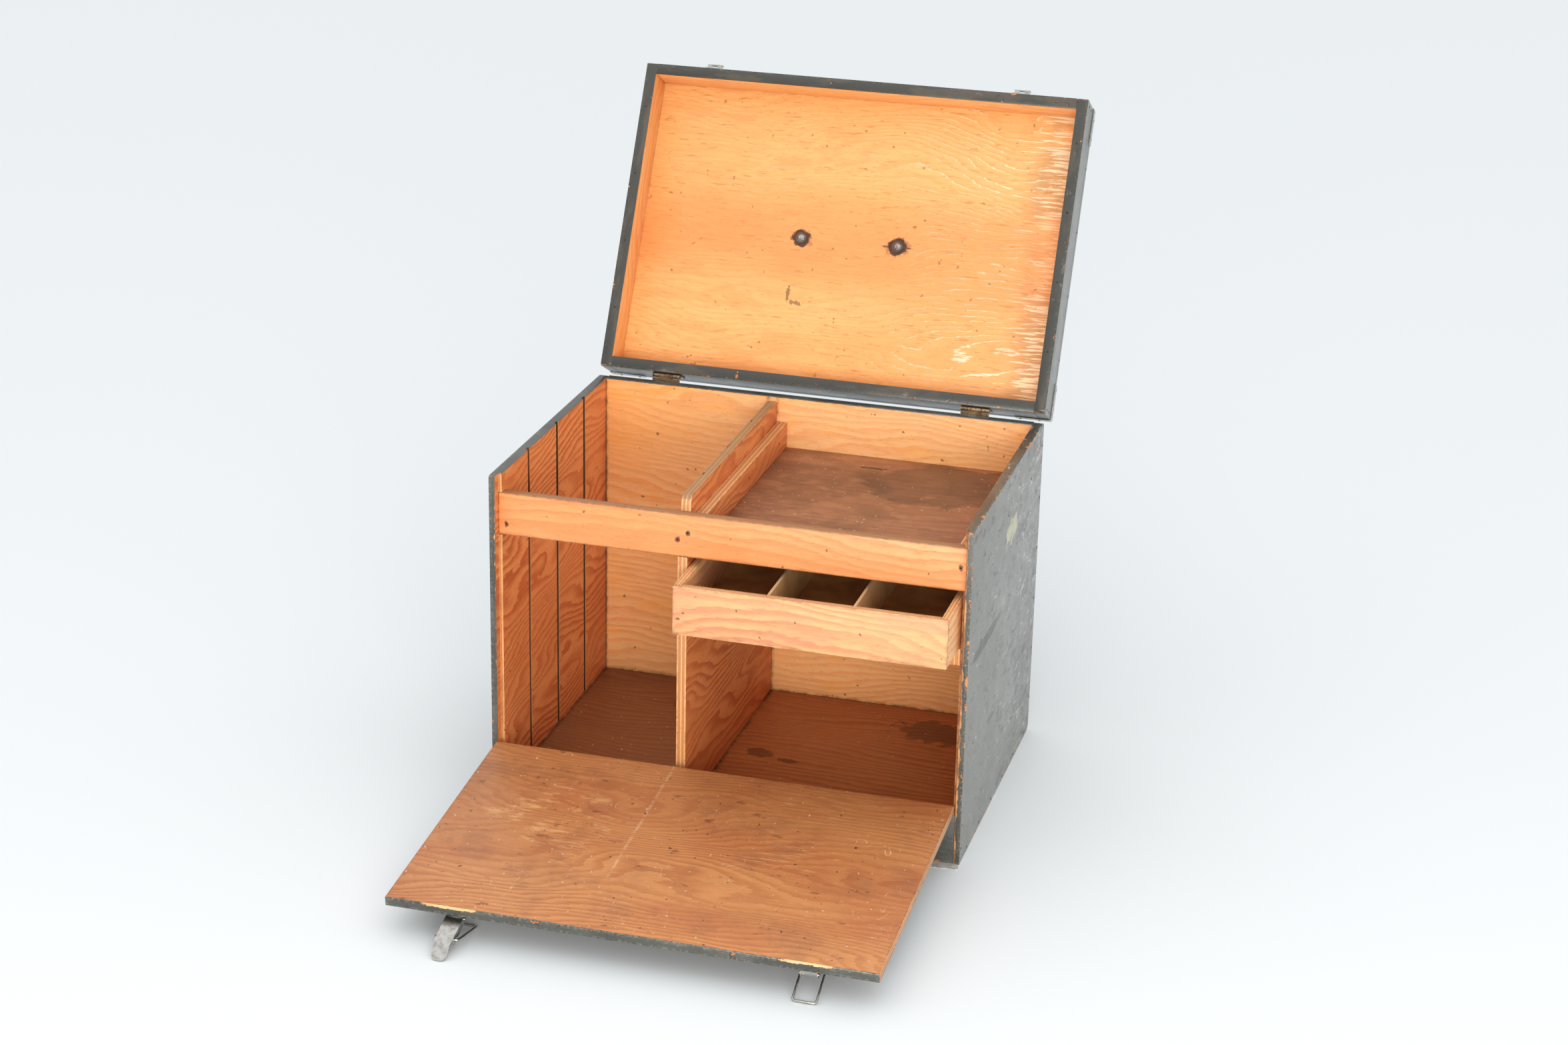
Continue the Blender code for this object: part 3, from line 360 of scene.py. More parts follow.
def spot(s, centre, radii, ragged=0.5, scale=60.0):
    """A ragged patch: 1 inside an ellipsoid about centre, 0 outside."""
    away = s.add("VectorMath", {0: s.place, 1: centre}, operation="SUBTRACT").outputs[0]
    scaled = s.add("VectorMath", {0: away, 1: radii}, operation="DIVIDE").outputs[0]
    far = s.add("VectorMath", {0: scaled}, operation="LENGTH").outputs["Value"]
    rough = s.times(s.minus(s.noise(s.place, scale, 3.0), 0.5), ragged * 2)
    return s.step(s.math("ADD", far, rough), 1.0, 0.75)


# ---------------------------------------------------------------- paint

PAINT_DARK = srgb(0.245, 0.245, 0.225)
PAINT_MID = srgb(0.345, 0.345, 0.315)
PAINT_RUB = srgb(0.53, 0.52, 0.47)
PAINT_RIM = srgb(0.20, 0.19, 0.16)
PAINT_RIM_LINE = srgb(0.36, 0.31, 0.24)
PAINT_SEAM = srgb(0.15, 0.14, 0.12)
# Pale grey for the painted sheen, with some dust, on the case's side faces.
SIDE_SHEEN_AND_DUST = srgb(0.60, 0.60, 0.58)
BARE_EDGE = srgb(0.74, 0.46, 0.26)
BARE_STAIN = srgb(0.46, 0.26, 0.15)
BARE_PALE = srgb(0.90, 0.75, 0.54)
BRUISE = srgb(0.20, 0.16, 0.13)
STRIPS = {"left_side_panel": 0.0084, "right_side_panel": 0.0062}  # paint on each wall's front edge
DOOR_PLIES = 5


def painted_share(s, low, high, sides):
    """1 where a place lies on the outside of a box, on the sides given as (axis, +1 or -1)."""
    ragged = s.times(s.minus(s.noise(s.place, 220.0, 2.0), 0.5), 0.0012)
    most = None
    for axis, sign in sides:
        place = high[axis] if sign > 0 else low[axis]
        outer, inner = (place, s.at[axis]) if sign > 0 else (s.at[axis], place)
        gap = s.minus(outer, inner)
        most = gap if most is None else s.math("MINIMUM", most, gap)
    return s.step(s.math("ADD", most, ragged), PAINT_TURN + 0.0003, PAINT_TURN)


def bare_front(board, colour):
    """The bare strip on the front edge of a side wall, 1 where it is bare, and the wood's colour there."""
    s = board.shader
    ragged = s.noise(s.place, 75.0, 4.0, 0.65)
    away = s.times(s.minus(ragged, 0.5), 0.012)
    kept = s.minus(CASE_HIGH.x - STRIPS[board.node], away)
    outer = s.step(s.minus(s.size(s.at[X]), kept), -0.0004, 0.0006)
    front = s.step(s.facing[Y], -0.5, -0.7)
    bare = s.times(front, s.minus(1.0, outer))
    darker_patch = s.step(s.noise(board.along(30.0, 30.0, 57.0), detail=4.0, rough=0.7), 0.42, 0.6)
    if board.node == "right_side_panel":
        dirty = s.linear(darker_patch, 0.4, 0.5)
    else:
        dirty = s.times(darker_patch, 0.25)
    return bare, s.tint(bare, dirty, colour, BARE_STAIN)


def door_seams(s, coat):
    """Glue lines that show through the paint on the door's free edge."""
    depth = s.minus(s.at[Y], DOOR_LOW.y)
    layer = s.math("FRACT", s.math("DIVIDE", depth, DOOR_THICK / DOOR_PLIES))
    glue = s.step(s.size(s.minus(layer, 0.5)), 0.36, 0.46)
    seam = s.times(glue, s.step(s.facing[Z], 0.5, 0.7))
    return s.tint(seam, 0.75, coat, PAINT_SEAM)


def paint_coat(board, brush, near_edge):
    """Colour of the paint where it still holds: brushed, paler on the side faces with a painted sheen and
    some dust, rubbed at the arrises.
    """
    s = board.shader
    mottle = s.noise(s.place, 14.0, 5.0, 0.6)
    coat = s.blend(s.step(mottle, 0.35, 0.7), PAINT_DARK, PAINT_MID)
    coat = s.shade(coat, s.linear(brush, 0.7, 0.65))
    lines = s.step(s.noise(board.along(12.0, 520.0, 55.0), detail=3.0, rough=0.6), 0.5, 0.62)
    lined = s.tint(lines, 0.55, PAINT_RIM, PAINT_RIM_LINE)
    below = s.step(s.facing[Z], -0.5, -0.7)
    coat = s.tint(below, 0.85, coat, lined)
    if board.node == "door_panel":
        coat = door_seams(s, coat)
    # Painted sheen, with some dust: the side faces are turned towards pale grey, in place of their bright
    # grazing reflection.
    side = s.step(s.size(s.facing[X]), 0.6, 0.8)
    sheen_and_dust = s.linear(s.noise(s.place, 6.0, 4.0, 0.6), 0.45, 0.22)
    coat = s.tint(side, sheen_and_dust, coat, SIDE_SHEEN_AND_DUST)
    rub = s.times(near_edge, s.step(s.noise(s.place, 260.0, 4.0, 0.7), 0.46, 0.64))
    rub = s.times(rub, s.linear(below, -0.75, 1.0))
    coat = s.tint(rub, 0.65, coat, PAINT_RUB)
    graze = s.step(s.noise(board.along(24.0, 260.0, 61.0), detail=4.0, rough=0.7), 0.63, 0.70)
    return s.tint(graze, 0.45, coat, PAINT_RUB)


def paint_over(board, colour, height, low, high, sides, wear=1.0, hot=None):
    """Old dark paint on the outer faces, rubbed along the arrises and chipped down to the wood.

    hot gives places, from 0 to 1, where the edge is chipped more than elsewhere.
    """
    s = board.shader
    share = painted_share(s, low, high, sides)
    if board.node in STRIPS:
        bare, colour = bare_front(board, colour)
        share = s.times(share, s.minus(1.0, bare))
    brush = s.noise(board.along(9.0, 420.0, 51.0), detail=3.0, rough=0.6)
    near_edge = s.step(arris_distance(s, low, high), 0.006, 0.0005)
    coat = paint_coat(board, brush, near_edge)
    pick = s.noise(s.place, 70.0, 5.0, 0.75)
    level = s.linear(near_edge, -0.10 * wear, 0.735 - 0.015 * wear)
    wood_seen = s.blend(0.7, colour, BARE_EDGE)
    if hot is not None:
        inner = s.step(s.at[Y], DOOR_HIGH.y - 0.006, DOOR_HIGH.y - 0.003)
        level = s.minus(level, s.times(s.times(hot, s.times(inner, near_edge)), 0.30))
        wood_seen = s.tint(hot, 0.9, wood_seen, BARE_PALE)
    chip = s.step(s.minus(pick, level), 0.0, 0.012)
    nick = s.noise(board.along(62.0, 150.0, 77.0), detail=3.0, rough=0.65)
    bruised = s.step(nick, 0.655, 0.68)
    torn = s.step(nick, 0.69, 0.71)
    coat = s.tint(bruised, 0.85, coat, BRUISE)
    coat = s.tint(torn, 0.9, coat, BARE_EDGE)
    covered = s.times(share, s.minus(1.0, chip))
    result = s.blend(share, colour, s.blend(chip, coat, wood_seen))
    dent = s.step(s.noise(board.along(70.0, 190.0, 71.0), detail=3.0, rough=0.6), 0.64, 0.74)
    paint_height = s.total(
        s.times(brush, 0.25),
        s.times(pick, 0.5),
        s.times(dent, -0.8),
        s.times(chip, -0.7),
        s.times(bruised, -0.9),
    )
    height = s.add("Mix", {0: share, 2: height, 3: paint_height}).outputs[0]
    return result, height, covered


CASE_SIDES = ((X, 1), (X, -1), (Y, 1), (Y, -1), (Z, 1), (Z, -1))
DOOR_SIDES = ((Y, -1), (Z, 1))
ENVELOPES = {
    "cabinet": (CASE_LOW, CASE_HIGH, CASE_SIDES),
    "lid": (LID_LOW, LID_HIGH, CASE_SIDES),
    "door": (DOOR_LOW, DOOR_HIGH, DOOR_SIDES),
}

# A dark brown for dirt, and for the painted shade in the corners where boards meet.
GRIME_AND_SHADE = srgb(0.20, 0.13, 0.08)
SPECK = srgb(0.86, 0.80, 0.70)


def corner_shade_and_dirt(s, colour, planes, reach, strength):
    """Painted shade, with some dirt, darkening the corners where boards meet."""
    # Painted shade near the given planes, broken up by noise so that it also reads as dirt.
    darkening = s.times(nearness(s, planes, reach), s.step(s.noise(s.place, 90.0, 3.0), 0.25, 0.75))
    return s.tint(darkening, strength, colour, GRIME_AND_SHADE)


def scuffs(board, colour, amount, tint, seed):
    """Fine pale scratches that lie roughly along the grain, in patches."""
    s = board.shader
    lines = s.noise(board.along(30.0, 700.0, seed), detail=2.0, rough=0.6, wander=0.4)
    where = s.step(s.noise(board.along(6.0, 12.0, seed + 5.0), detail=2.0), 0.52, 0.72)
    return s.blend(s.times(s.times(s.step(lines, 0.60, 0.70), where), amount), colour, tint)


def hairs(board, colour, amount, tint, seed):
    """Thin curved scratches, in patches."""
    s = board.shader
    moved = s.add("VectorMath", {0: s.place, 1: (seed, seed * 1.7, seed * 0.3)}, operation="ADD").outputs[0]
    field = s.noise(moved, 24.0, 1.0, 0.4, 1.2)
    thin = s.step(s.size(s.minus(field, 0.5)), 0.006, 0.002)
    where = s.step(s.noise(moved, 17.0, 2.0), 0.56, 0.66)
    broken = s.step(s.noise(moved, 90.0, 2.0), 0.42, 0.55)
    return s.blend(s.times(s.times(thin, where), s.times(broken, amount)), colour, tint)


def speckle(board, colour, amount, tint, scale=190.0, seed=0.0):
    """Small spots all over."""
    s = board.shader
    moved = s.add("VectorMath", {0: s.place, 1: (seed, seed * 0.7, seed * 1.3)}, operation="ADD").outputs[0]
    dots = s.step(s.noise(moved, scale, 1.0), 0.74, 0.78)
    return s.tint(dots, amount, colour, tint)


BAY_WALLS = (
    (X, INNER_LEFT),
    (X, DIVIDER_LOW.x),
    (X, DIVIDER_HIGH.x),
    (X, INNER_RIGHT),
    (Y, BACK_WALL),
)


def cover(node, material):
    """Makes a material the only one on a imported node."""
    slots = frame["nodes"][node].data.materials
    slots.clear()
    slots.append(material)


def dress(node, wood, grain, seed, painted=False, count=5, marks=None, wear=1.0, coat_marks=None):
    """Gives a board its veneer, edges, dirt, marks of its own and, outside, its paint."""
    board = Board(node, grain, seed)
    s = board.shader
    colour, height = board.wooden(wood, count)
    if marks:
        colour = marks(board, colour)
    handled = s.times(s.step(board.arris(), 0.004, 0.0), s.step(s.noise(s.place, 120.0, 3.0), 0.40, 0.65))
    colour = s.tint(handled, 0.28, colour, GRIME_AND_SHADE)
    rough = s.linear(s.noise(s.place, 35.0, 3.0), 0.22, wood.sheen - 0.08)
    if painted:
        low, high, sides = ENVELOPES[NODE_BODY[node]]
        hot = None
        if node == "door_panel":
            hot = s.step(s.size(s.minus(s.size(s.at[X]), LATCH_X)), 0.05, 0.015)
        colour, height, covered = paint_over(board, colour, height, low, high, sides, wear, hot)
        if coat_marks:
            colour = coat_marks(board, colour, covered)
        paint_rough = s.linear(s.noise(s.place, 50.0, 4.0), 0.26, 0.17)
        rough = s.add("Mix", {0: covered, 2: rough, 3: paint_rough}).outputs[0]
        s.put(s.surface.inputs["Specular IOR Level"], s.linear(covered, 0.25, 0.45))
    cover(node, s.finish(colour, rough, height))


def wall_marks(board, colour):
    s = board.shader
    face = board.high.x if board.node == "left_side_panel" else board.low.x
    deep = s.minus(s.size(s.minus(s.at[X], face)), 0.0001)
    between = s.step(s.size(s.at[Y]), CASE_HIGH.y - 0.03, CASE_HIGH.y - 0.04)
    inside = s.times(between, s.step(deep, 0.0, 0.0008))
    shallow = s.step(s.size(s.minus(deep, 0.0017)), 0.0017, 0.0015)
    # Painted shade in the grooves: near-black towards the back, a lighter brown in their front part.
    groove_shade = s.times(inside, shallow)
    if board.node == "divider_panel":
        groove_shade = s.times(groove_shade, s.step(s.at[Z], board.high.z - 0.0004, board.high.z - 0.001))
    rough_cut = s.step(s.at[Y], -0.06, -0.04)
    tint = s.blend(rough_cut, srgb(0.42, 0.24, 0.13), srgb(0.10, 0.055, 0.03))
    colour = s.tint(groove_shade, 0.92, colour, tint)
    top = s.step(s.facing[Z], 0.5, 0.7)
    colour = s.tint(top, 0.6, colour, srgb(0.55, 0.43, 0.31))
    # Painted shade, with some dirt, along the bay floor and the back wall.
    colour = corner_shade_and_dirt(s, colour, ((Z, BAY_FLOOR), (Y, BACK_WALL)), 0.005, 0.6)
    colour = scuffs(board, colour, 0.35, SPECK, 81.0)
    return speckle(board, colour, 0.6, GRIME_AND_SHADE, 150.0)


def back_marks(board, colour):
    s = board.shader
    # Painted shade, with some dirt, along the walls and the bay floor.
    colour = corner_shade_and_dirt(s, colour, BAY_WALLS[:4] + ((Z, BAY_FLOOR),), 0.0045, 0.7)
    amber = s.step(s.noise(board.along(13.0, 45.0, 7.5), detail=3.0, rough=0.6), 0.57, 0.66)
    colour = s.tint(amber, 0.35, colour, srgb(0.97, 0.66, 0.28))
    return speckle(board, colour, 0.6, GRIME_AND_SHADE, 130.0)


def floor_marks(board, colour):
    s = board.shader
    # Painted shade: the left bay's floor is made about half as bright as the right bay's.
    left = s.step(s.at[X], DIVIDER_HIGH.x, DIVIDER_LOW.x)
    colour = s.shade(colour, s.linear(left, -0.52, 1.0))
    # Painted shade, with some dirt, along the bay walls.
    colour = corner_shade_and_dirt(s, colour, BAY_WALLS, 0.007, 0.8)
    for centre, radii in (
        ((-0.01, -0.004, BAY_FLOOR), (0.022, 0.014, 0.02)),
        ((0.03, -0.016, BAY_FLOOR), (0.018, 0.007, 0.02)),
        ((-0.12, 0.12, BAY_FLOOR), (0.05, 0.03, 0.02)),
        ((0.20, 0.13, BAY_FLOOR), (0.06, 0.04, 0.02)),
    ):
        colour = s.blend(s.times(spot(s, centre, radii, 0.9), 0.55), colour, GRIME_AND_SHADE)
    colour = scuffs(board, colour, 0.45, srgb(0.66, 0.45, 0.30), 91.0)
    return speckle(board, colour, 0.8, SPECK, 210.0, 3.0)


def shelf_marks(board, colour):
    s = board.shader
    cloud = s.step(s.noise(s.place, 9.0, 4.0, 0.6), 0.42, 0.62)
    colour = s.tint(cloud, 0.5, colour, srgb(0.42, 0.27, 0.18))
    patch = s.step(s.noise(board.along(22.0, 40.0, 13.0), detail=5.0, rough=0.7), 0.50, 0.62)
    colour = s.tint(patch, 0.4, colour, srgb(0.74, 0.50, 0.34))
    darker_patch = spot(s, (0.200, 0.117, SHELF_HIGH.z), (0.12, 0.08, 0.05), 0.8, 20.0)
    colour = s.tint(darker_patch, 0.45, colour, GRIME_AND_SHADE)
    smudge = spot(s, (0.092, 0.155, SHELF_HIGH.z), (0.020, 0.004, 0.02), 0.6, 160.0)
    colour = s.tint(smudge, 0.8, colour, GRIME_AND_SHADE)
    # Painted shade, with some dirt, along the walls and the front rail.
    colour = corner_shade_and_dirt(s, colour, BAY_WALLS + ((Y, RAIL_HIGH.y),), 0.006, 0.7)
    return speckle(board, colour, 0.9, SPECK, 230.0, 1.0)


def lid_marks(board, colour):
    s = board.shader
    wander = s.times(s.minus(s.noise(s.place, 9.0, 3.0), 0.5), 0.05)
    side = s.math("ADD", s.at[X], wander)
    zone = s.step(side, -0.02, 0.24)
    thin = s.step(s.noise(board.along(30.0, 90.0, 8.0), detail=3.0), 0.38, 0.55)
    crest = s.times(s.times(board.crest, zone), s.times(thin, 0.85))
    colour = s.blend(crest, colour, srgb(1.0, 0.93, 0.80))
    # A darker grey-brown band near the lid's right edge.
    darker_patch = s.times(s.step(side, 0.222, 0.262), s.step(s.noise(s.place, 16.0, 4.0), 0.30, 0.55))
    colour = s.tint(darker_patch, 0.5, colour, srgb(0.62, 0.47, 0.30))
    reach = s.linear(s.noise(board.along(9.0, 240.0, 5.1), detail=3.0, rough=0.6), -0.17, 0.345)
    torn = s.step(s.minus(s.at[X], reach), 0.0, 0.004)
    tip = s.step(s.noise(board.along(30.0, 420.0, 5.9), detail=2.0), 0.45, 0.55)
    colour = s.blend(s.times(s.times(torn, tip), 0.7), colour, srgb(1.0, 0.92, 0.76))
    warm = s.times(s.step(s.at[Y], 0.11, 0.02), s.step(s.at[Y], -0.09, -0.02))
    uneven = s.linear(s.noise(board.along(7.0, 20.0, 12.0), detail=4.0, rough=0.6), 0.9, 0.05)
    colour = s.tint(warm, uneven, colour, srgb(0.91, 0.55, 0.30))
    dash = s.step(s.noise(board.along(42.0, 300.0, 31.0), detail=2.0), 0.64, 0.70)
    colour = s.tint(dash, 0.45, colour, srgb(0.74, 0.42, 0.20))
    swirl = s.step(s.noise(board.along(11.0, 34.0, 77.0), detail=4.0, rough=0.6), 0.50, 0.60)
    swirl = s.times(swirl, s.step(s.at[X], 0.05, -0.10))
    colour = s.tint(swirl, 0.35, colour, srgb(0.90, 0.58, 0.32))
    for side in (-1, 1):
        halo = spot(s, (side * BOLT_X, 0, LID_LOW.z + 0.05), (0.018, 0.014, 0.02), 0.9, 110.0)
        colour = s.tint(halo, 0.45, colour, srgb(0.52, 0.30, 0.16))
        ring = spot(s, (side * BOLT_X, 0, LID_LOW.z + 0.05), (0.0145, 0.0135, 0.02), 0.5, 150.0)
        colour = s.tint(ring, 0.92, colour, srgb(0.25, 0.13, 0.07))
    tear = spot(s, (BOLT_X, 0.001, LID_LOW.z + 0.05), (0.026, 0.0022, 0.02), 0.5, 120.0)
    colour = s.tint(tear, 0.8, colour, srgb(0.35, 0.18, 0.09))
    for centre, radii in (
        ((-0.062, 0.090, 0.49), (0.010, 0.0035, 0.02)),
        ((-0.074, 0.078, 0.49), (0.003, 0.012, 0.02)),
    ):
        colour = s.blend(s.times(spot(s, centre, radii, 1.1, 240.0), 0.6), colour, GRIME_AND_SHADE)
    colour = scuffs(board, colour, 0.25, SPECK, 71.0)
    return speckle(board, colour, 0.5, srgb(0.45, 0.25, 0.12), 120.0, 5.0)


def door_marks(board, colour):
    s = board.shader
    waver = s.times(s.minus(s.noise(s.place, 30.0, 3.0), 0.5), 0.003)
    line = s.step(s.size(s.total(s.at[X], 0.060, waver)), 0.0028, 0.0006)
    reach = s.step(s.at[Z], 0.335, 0.32)
    broken = s.step(s.noise(s.place, 80.0, 4.0, 0.7), 0.36, 0.58)
    line = s.times(s.times(line, reach), s.times(broken, 0.55))
    colour = s.blend(line, colour, srgb(0.86, 0.70, 0.55))
    red = s.step(s.noise(board.along(4.0, 9.0, 2.2), detail=2.0), 0.45, 0.65)
    colour = s.tint(red, 0.35, colour, srgb(0.66, 0.34, 0.19))
    area = spot(s, (-0.16, DOOR_HIGH.y, 0.215), (0.085, 0.05, 0.065), 1.0, 14.0)
    torn = s.step(s.noise(board.along(24.0, 75.0, 19.0), detail=5.0, rough=0.75), 0.50, 0.62)
    colour = s.blend(s.times(s.times(area, torn), 0.55), colour, srgb(0.90, 0.70, 0.47))
    cloud = s.step(s.noise(s.place, 11.0, 4.0, 0.65), 0.50, 0.66)
    colour = s.tint(cloud, 0.30, colour, srgb(0.50, 0.31, 0.22))
    colour = scuffs(board, colour, 0.75, srgb(0.93, 0.74, 0.52), 21.0)
    colour = scuffs(board, colour, 0.5, srgb(0.90, 0.68, 0.48), 27.0)
    colour = hairs(board, colour, 0.6, srgb(0.93, 0.76, 0.58), 5.0)
    colour = hairs(board, colour, 0.5, srgb(0.90, 0.72, 0.55), 11.0)
    purple = s.step(s.noise(board.along(38.0, 70.0, 33.0), detail=3.0, rough=0.6), 0.66, 0.72)
    colour = s.tint(purple, 0.55, colour, srgb(0.38, 0.20, 0.16))
    colour = speckle(board, colour, 0.85, srgb(0.30, 0.15, 0.10), 75.0, 2.0)
    colour = speckle(board, colour, 0.7, GRIME_AND_SHADE, 170.0, 6.0)
    return speckle(board, colour, 0.6, SPECK, 200.0, 9.0)


def right_marks(board, colour, covered):
    """A long darker rub and a pale yellowish smear on the painted face."""
    s = board.shader
    face = CASE_HIGH.x
    rub = spot(s, (face, -0.110, 0.261), (0.02, 0.097, 0.009), 0.25, 40.0)
    colour = s.blend(s.times(s.times(rub, covered), 0.75), colour, srgb(0.25, 0.25, 0.22))
    smear = spot(s, (face, 0.026, 0.357), (0.02, 0.034, 0.018), 0.9, 50.0)
    colour = s.blend(s.times(s.times(smear, covered), 0.85), colour, srgb(0.74, 0.73, 0.58))
    smear = spot(s, (face, -0.010, 0.270), (0.02, 0.012, 0.010), 0.9, 70.0)
    colour = s.blend(s.times(s.times(smear, covered), 0.4), colour, srgb(0.64, 0.63, 0.52))
    back = s.linear(s.at[Y], 0.22, 0.045)
    for scale, low, strength, tint in (
        (13.0, 0.625, 0.55, srgb(0.24, 0.23, 0.20)),
        (24.0, 0.645, 0.60, srgb(0.30, 0.30, 0.28)),
        (30.0, 0.655, 0.85, srgb(0.14, 0.13, 0.12)),
        (46.0, 0.670, 0.85, srgb(0.28, 0.19, 0.13)),
        (58.0, 0.685, 0.85, srgb(0.60, 0.38, 0.25)),
        (38.0, 0.655, 0.50, srgb(0.80, 0.81, 0.79)),
    ):
        chip = s.noise(board.along(scale, scale * 2.4, scale), detail=5.0, rough=0.75)
        chip = s.step(s.math("ADD", chip, back), low, low + 0.03)
        colour = s.blend(s.times(s.times(chip, covered), strength), colour, tint)
    return colour


def rail_marks(board, colour):
    s = board.shader
    colour = speckle(board, colour, 0.6, GRIME_AND_SHADE, 110.0, 4.0)
    for x, z in (
        (DIVIDER_LOW.x, 0.378),
        (DIVIDER_HIGH.x, 0.388),
        (RAIL_LOW.x + 0.010, 0.371),
        (RAIL_HIGH.x - 0.009, 0.386),
    ):
        hole = spot(s, (x, RAIL_LOW.y, z), (0.0035, 0.01, 0.0045), 0.8, 300.0)
        colour = s.tint(hole, 0.8, colour, srgb(0.35, 0.18, 0.12))
    under, over = s.minus(s.at[Z], RAIL_LOW.z), s.minus(RAIL_HIGH.z, s.at[Z])
    edges = s.math("MINIMUM", under, over)
    return s.blend(s.times(s.step(edges, 0.0022, 0.0004), 0.6), colour, srgb(0.42, 0.26, 0.17))


def drawer_marks(board, colour):
    s = board.shader
    pink = s.step(s.noise(board.along(7.0, 40.0, 4.4), detail=3.0, rough=0.6), 0.48, 0.60)
    colour = s.tint(pink, 0.45, colour, srgb(0.84, 0.58, 0.44))
    # Darker towards the bottom edge of the drawer front.
    foot = s.step(s.at[Z], board.low.z + 0.012, board.low.z)
    darkening = s.times(foot, s.step(s.noise(s.place, 45.0, 3.0), 0.45, 0.7))
    colour = s.tint(darkening, 0.35, colour, srgb(0.55, 0.40, 0.30))
    return speckle(board, colour, 0.7, GRIME_AND_SHADE, 110.0, 4.0)


def dress_boards():
    dress("left_side_panel", RED_FIR, Y, 1.0, painted=True, marks=wall_marks)
    dress("right_side_panel", HONEY_FIR, Y, 2.0, painted=True, wear=1.6, coat_marks=right_marks)
    dress("back_panel", HONEY_FIR, X, 3.0, painted=True, marks=back_marks)
    dress("bottom_panel", STAINED_FIR, X, 4.0, painted=True, marks=floor_marks)
    dress("bottom_front_board", DOOR_FIR, X, 5.0, painted=True, wear=1.8)
    dress("front_rail", RAIL_FIR, X, 6.0, marks=rail_marks)
    dress("divider_panel", RED_FIR, Y, 7.0, marks=wall_marks)
    dress("shelf_panel", SHELF_FIR, X, 8.0, count=3, marks=shelf_marks)
    dress("shelf_cleat_left", RED_FIR, Y, 9.0)
    dress("shelf_cleat_right", RED_FIR, Y, 10.0)
    dress("drawer_runner_left", HONEY_FIR, Y, 11.0)
    dress("drawer_runner_right", HONEY_FIR, Y, 12.0)
    dress("lid_panel", YELLOW_FIR, X, 13.0, painted=True, marks=lid_marks)
    dress("lid_rail_left", HONEY_FIR, Y, 14.0, painted=True)
    dress("lid_rail_right", HONEY_FIR, Y, 15.0, painted=True)
    dress("lid_rail_front", HONEY_FIR, X, 16.0, painted=True)
    dress("lid_rail_back", HONEY_FIR, X, 17.0, painted=True)
    dress("door_panel", DOOR_FIR, X, 18.0, painted=True, marks=door_marks, wear=0.7)
    dress("drawer_front", PALE_FIR, X, 19.0, marks=drawer_marks)
    dress("drawer_side_left", PALE_FIR, Y, 20.0)
    dress("drawer_side_right", PALE_FIR, Y, 21.0)
    dress("drawer_back", PALE_FIR, X, 22.0)


def dress_sheet(node, colour, fleck, seed):
    """Pressed hardboard: fine matted fibres, paler along its worn edges."""
    s = Shader(node, NODE_BODY[node])
    fibre = s.noise(s.place, 700.0, 4.0, 0.7)
    moved = s.add("VectorMath", {0: s.place, 1: (seed, seed, seed)}, operation="ADD").outputs[0]
    cloud = s.noise(moved, 22.0, 4.0)
    mixed = s.blend(s.step(cloud, 0.35, 0.65), colour, fleck)
    mixed = s.shade(mixed, s.linear(fibre, 0.5, 0.72))
    low, high = closed_box(node)
    worn = s.step(arris_distance(s, low, high), 0.0025, 0.0)
    mixed = s.tint(worn, 0.25, mixed, SPECK)
    cover(node, s.finish(mixed, 0.72, fibre, depth=0.0003))


# ---------------------------------------------------------------- metals


def metal(name, body, colour, tarnish, rust, rough, rusty, washers=False, metallic=1.0):
    """Plated steel: brushed sheen, cloudy tarnish and rust that breaks through in spots.

    With washers, everything outside the heads of the handle's bolts is brown with rust.
    """
    s = Shader(name, body)
    cloud = s.noise(s.place, 130.0, 4.0, 0.6)
    mixed = s.blend(s.step(cloud, 0.40, 0.68), colour, tarnish)
    fine = s.noise(s.place, 1400.0, 2.0)
    spots = s.step(s.noise(s.place, 420.0, 4.0, 0.7), 0.72 - rusty * 0.2, 0.76 - rusty * 0.16)
    if washers:
        off = s.minus(s.size(s.at[X]), BOLT_X)
        away = s.math("SQRT", s.math("ADD", s.times(off, off), s.times(s.at[Y], s.at[Y])))
        spots = s.math("MAXIMUM", spots, s.step(away, 0.0044, 0.0049))
    mixed = s.tint(spots, 0.85, mixed, rust)
    dull = s.linear(cloud, 0.25, rough - 0.1)
    dull = s.linear(spots, 0.3, dull)
    shine = s.linear(spots, -0.75 * metallic, metallic)
    return s.finish(mixed, dull, s.total(fine, s.times(spots, 0.8)), shine, depth=0.00006)


# Colour, tarnish, rust, roughness and how far the rust has spread.
NICKEL = (srgb(0.74, 0.73, 0.71), srgb(0.62, 0.60, 0.57), srgb(0.34, 0.21, 0.13), 0.24, 0.15)
BRASSED = (srgb(0.66, 0.56, 0.43), srgb(0.42, 0.32, 0.23), srgb(0.33, 0.18, 0.10), 0.34, 0.9)
IRON = (srgb(0.30, 0.27, 0.25), srgb(0.22, 0.17, 0.14), srgb(0.30, 0.16, 0.10), 0.50, 0.6)
BOLT = (srgb(0.78, 0.77, 0.75), srgb(0.60, 0.57, 0.53), srgb(0.28, 0.16, 0.10), 0.3, 0.2)
# Pale corner-plate colour: with little metallic shine it gives a painted reflection of the bright floor.
PALE_PLATE = (srgb(0.88, 0.87, 0.84), srgb(0.72, 0.70, 0.65), srgb(0.34, 0.21, 0.13), 0.4, 0.1)

NICKELS = {body: metal("nickel_" + body, body, *NICKEL) for body in frame["bodies"] if body != "drawer"}
BRASSES = {body: metal("brassed_" + body, body, *BRASSED) for body in ("cabinet", "lid", "door")}
BOLTS = metal("nickel_bolts", "lid", *BOLT, washers=True)
